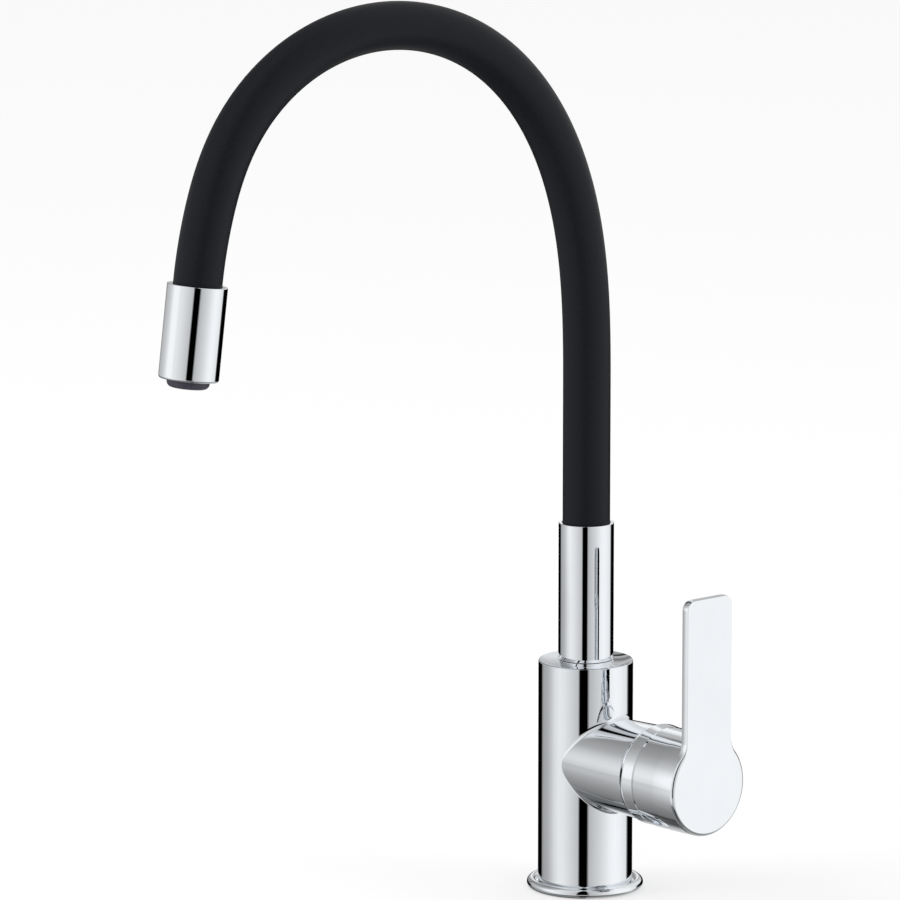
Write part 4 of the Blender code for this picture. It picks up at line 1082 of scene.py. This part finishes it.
def studio_wall():
    """White and grey reflector walls with dark gaps between them, all round the object, closed by a dome;
    below the floor they stand in for it in reflections and carry painted shade.
    """
    mesh = bpy.data.meshes.new("reflector_walls_and_painted_floor_shade")
    places, faces, tones = [], [], []
    for elevation in ELEVATIONS:
        e = math.radians(elevation)
        reach = WALL_RADIUS / math.cos(math.radians(min(abs(elevation), DOME_FROM)))
        for i in range(WALL_COLUMNS + 1):
            beta = -180 + 360 * i / WALL_COLUMNS
            a = STAGE_AZIMUTH + math.radians(beta)
            out = reach * math.cos(e)
            height = WALL_MIDDLE + reach * math.sin(e)
            places.append((out * math.cos(a), out * math.sin(a), height))
            tones.append(tone(beta, elevation, height))
    per_row = WALL_COLUMNS + 1
    for k in range(len(ELEVATIONS) - 1):
        for at in range(k * per_row, k * per_row + WALL_COLUMNS):
            faces.append((at, at + 1, at + per_row + 1, at + per_row))
    mesh.from_pydata(places, [], faces)
    layer = mesh.attributes.new("tone", "FLOAT", "POINT")
    layer.data.foreach_set("value", tones)
    wall = bpy.data.objects.new("reflector_walls_and_painted_floor_shade", mesh)
    bpy.context.scene.collection.objects.link(wall)

    def build(tree, output):
        read = tree.nodes.new("ShaderNodeAttribute")
        read.attribute_name = "tone"
        glow = tree.nodes.new("ShaderNodeEmission")
        tree.links.new(read.outputs["Fac"], glow.inputs["Strength"])
        tree.links.new(glow.outputs["Emission"], output.inputs["Surface"])

    mesh.materials.append(emissive("reflector_walls_and_painted_floor_shade", build))
    wall.visible_camera = False
    wall.visible_diffuse = False
    wall.visible_shadow = False
    wall.visible_transmission = False


studio_wall()


FLOOR_HALF = 8.0
FLOOR_COLOUR = (0.6, 0.6, 0.6, 1)
FLOOR_GLOW = 0.45


def floor():
    """Pale floor that keeps the object's shadow; its glow lifts it to the white of the background."""
    mesh = bpy.data.meshes.new("floor")
    places = [(x * FLOOR_HALF, y * FLOOR_HALF, 0) for x, y in ((-1, -1), (1, -1), (1, 1), (-1, 1))]
    mesh.from_pydata(places, [], [(0, 1, 2, 3)])
    plane = bpy.data.objects.new("floor", mesh)
    bpy.context.scene.collection.objects.link(plane)

    def build(tree, output):
        surface = tree.nodes.new("ShaderNodeBsdfDiffuse")
        surface.inputs["Color"].default_value = FLOOR_COLOUR
        glow = tree.nodes.new("ShaderNodeEmission")
        glow.inputs["Strength"].default_value = FLOOR_GLOW
        both = tree.nodes.new("ShaderNodeAddShader")
        tree.links.new(surface.outputs["BSDF"], both.inputs[0])
        tree.links.new(glow.outputs["Emission"], both.inputs[1])
        tree.links.new(both.outputs["Shader"], output.inputs["Surface"])

    mesh.materials.append(emissive("floor", build))
    plane.visible_glossy = False


floor()


WORLD_LIGHT = 0.8
WHITE_BACKGROUND = 1.0


def world():
    """Soft white light, and a white background wherever the camera, a mirror or a glass sees it."""
    made = bpy.data.worlds.new("studio")
    bpy.context.scene.world = made
    made.use_nodes = True
    tree = made.node_tree
    tree.nodes.clear()

    def larger(first, second):
        node = tree.nodes.new("ShaderNodeMath")
        node.operation = "MAXIMUM"
        tree.links.new(first, node.inputs[0])
        tree.links.new(second, node.inputs[1])
        return node.outputs[0]

    def background(strength):
        node = tree.nodes.new("ShaderNodeBackground")
        node.inputs["Color"].default_value = (1, 1, 1, 1)
        node.inputs["Strength"].default_value = strength
        return node.outputs[0]

    output = tree.nodes.new("ShaderNodeOutputWorld")
    path = tree.nodes.new("ShaderNodeLightPath")
    mix = tree.nodes.new("ShaderNodeMixShader")
    seen = larger(path.outputs["Is Camera Ray"], path.outputs["Is Glossy Ray"])
    tree.links.new(larger(seen, path.outputs["Is Transmission Ray"]), mix.inputs["Fac"])
    tree.links.new(background(WORLD_LIGHT), mix.inputs[1])
    tree.links.new(background(WHITE_BACKGROUND), mix.inputs[2])
    tree.links.new(mix.outputs[0], output.inputs["Surface"])


world()


LAMP_SIZE = 1.6
LAMPS_AIM_AT = Vector((0, -0.05, 0.2))


def lamp(name, place, power):
    """Square softbox at a place, turned towards the object."""
    data = bpy.data.lights.new(name, "AREA")
    data.shape = "SQUARE"
    data.size = LAMP_SIZE
    data.energy = power
    made = bpy.data.objects.new(name, data)
    bpy.context.scene.collection.objects.link(made)
    made.location = place
    away = Vector(place) - LAMPS_AIM_AT
    made.rotation_euler = away.to_track_quat("Z", "Y").to_euler()
    made.visible_glossy = False


lamp("softbox_left", (-1.4, -2.6, 2.2), power=26)
lamp("softbox_right", (2.6, 1.2, 1.8), power=14)

# Camera at the photograph's viewing angle

CAMERA_TOWARD = Vector((0.7374, -0.6511, 0.1797)).normalized()
CAMERA_AIMS_AT = Vector((-0.04551, -0.05154, 0.22564))
CAMERA_DISTANCE = 3.2
CAMERA_LENS = 254.3

view = bpy.data.cameras.new("camera")
view.lens = CAMERA_LENS
view.sensor_width = 36.0
view.clip_end = 30.0
camera = bpy.data.objects.new("camera", view)
bpy.context.scene.collection.objects.link(camera)
camera.location = CAMERA_AIMS_AT + CAMERA_TOWARD * CAMERA_DISTANCE
camera.rotation_euler = CAMERA_TOWARD.to_track_quat("Z", "Y").to_euler()
bpy.context.scene.camera = camera
bpy.context.scene.view_settings.view_transform = "Standard"
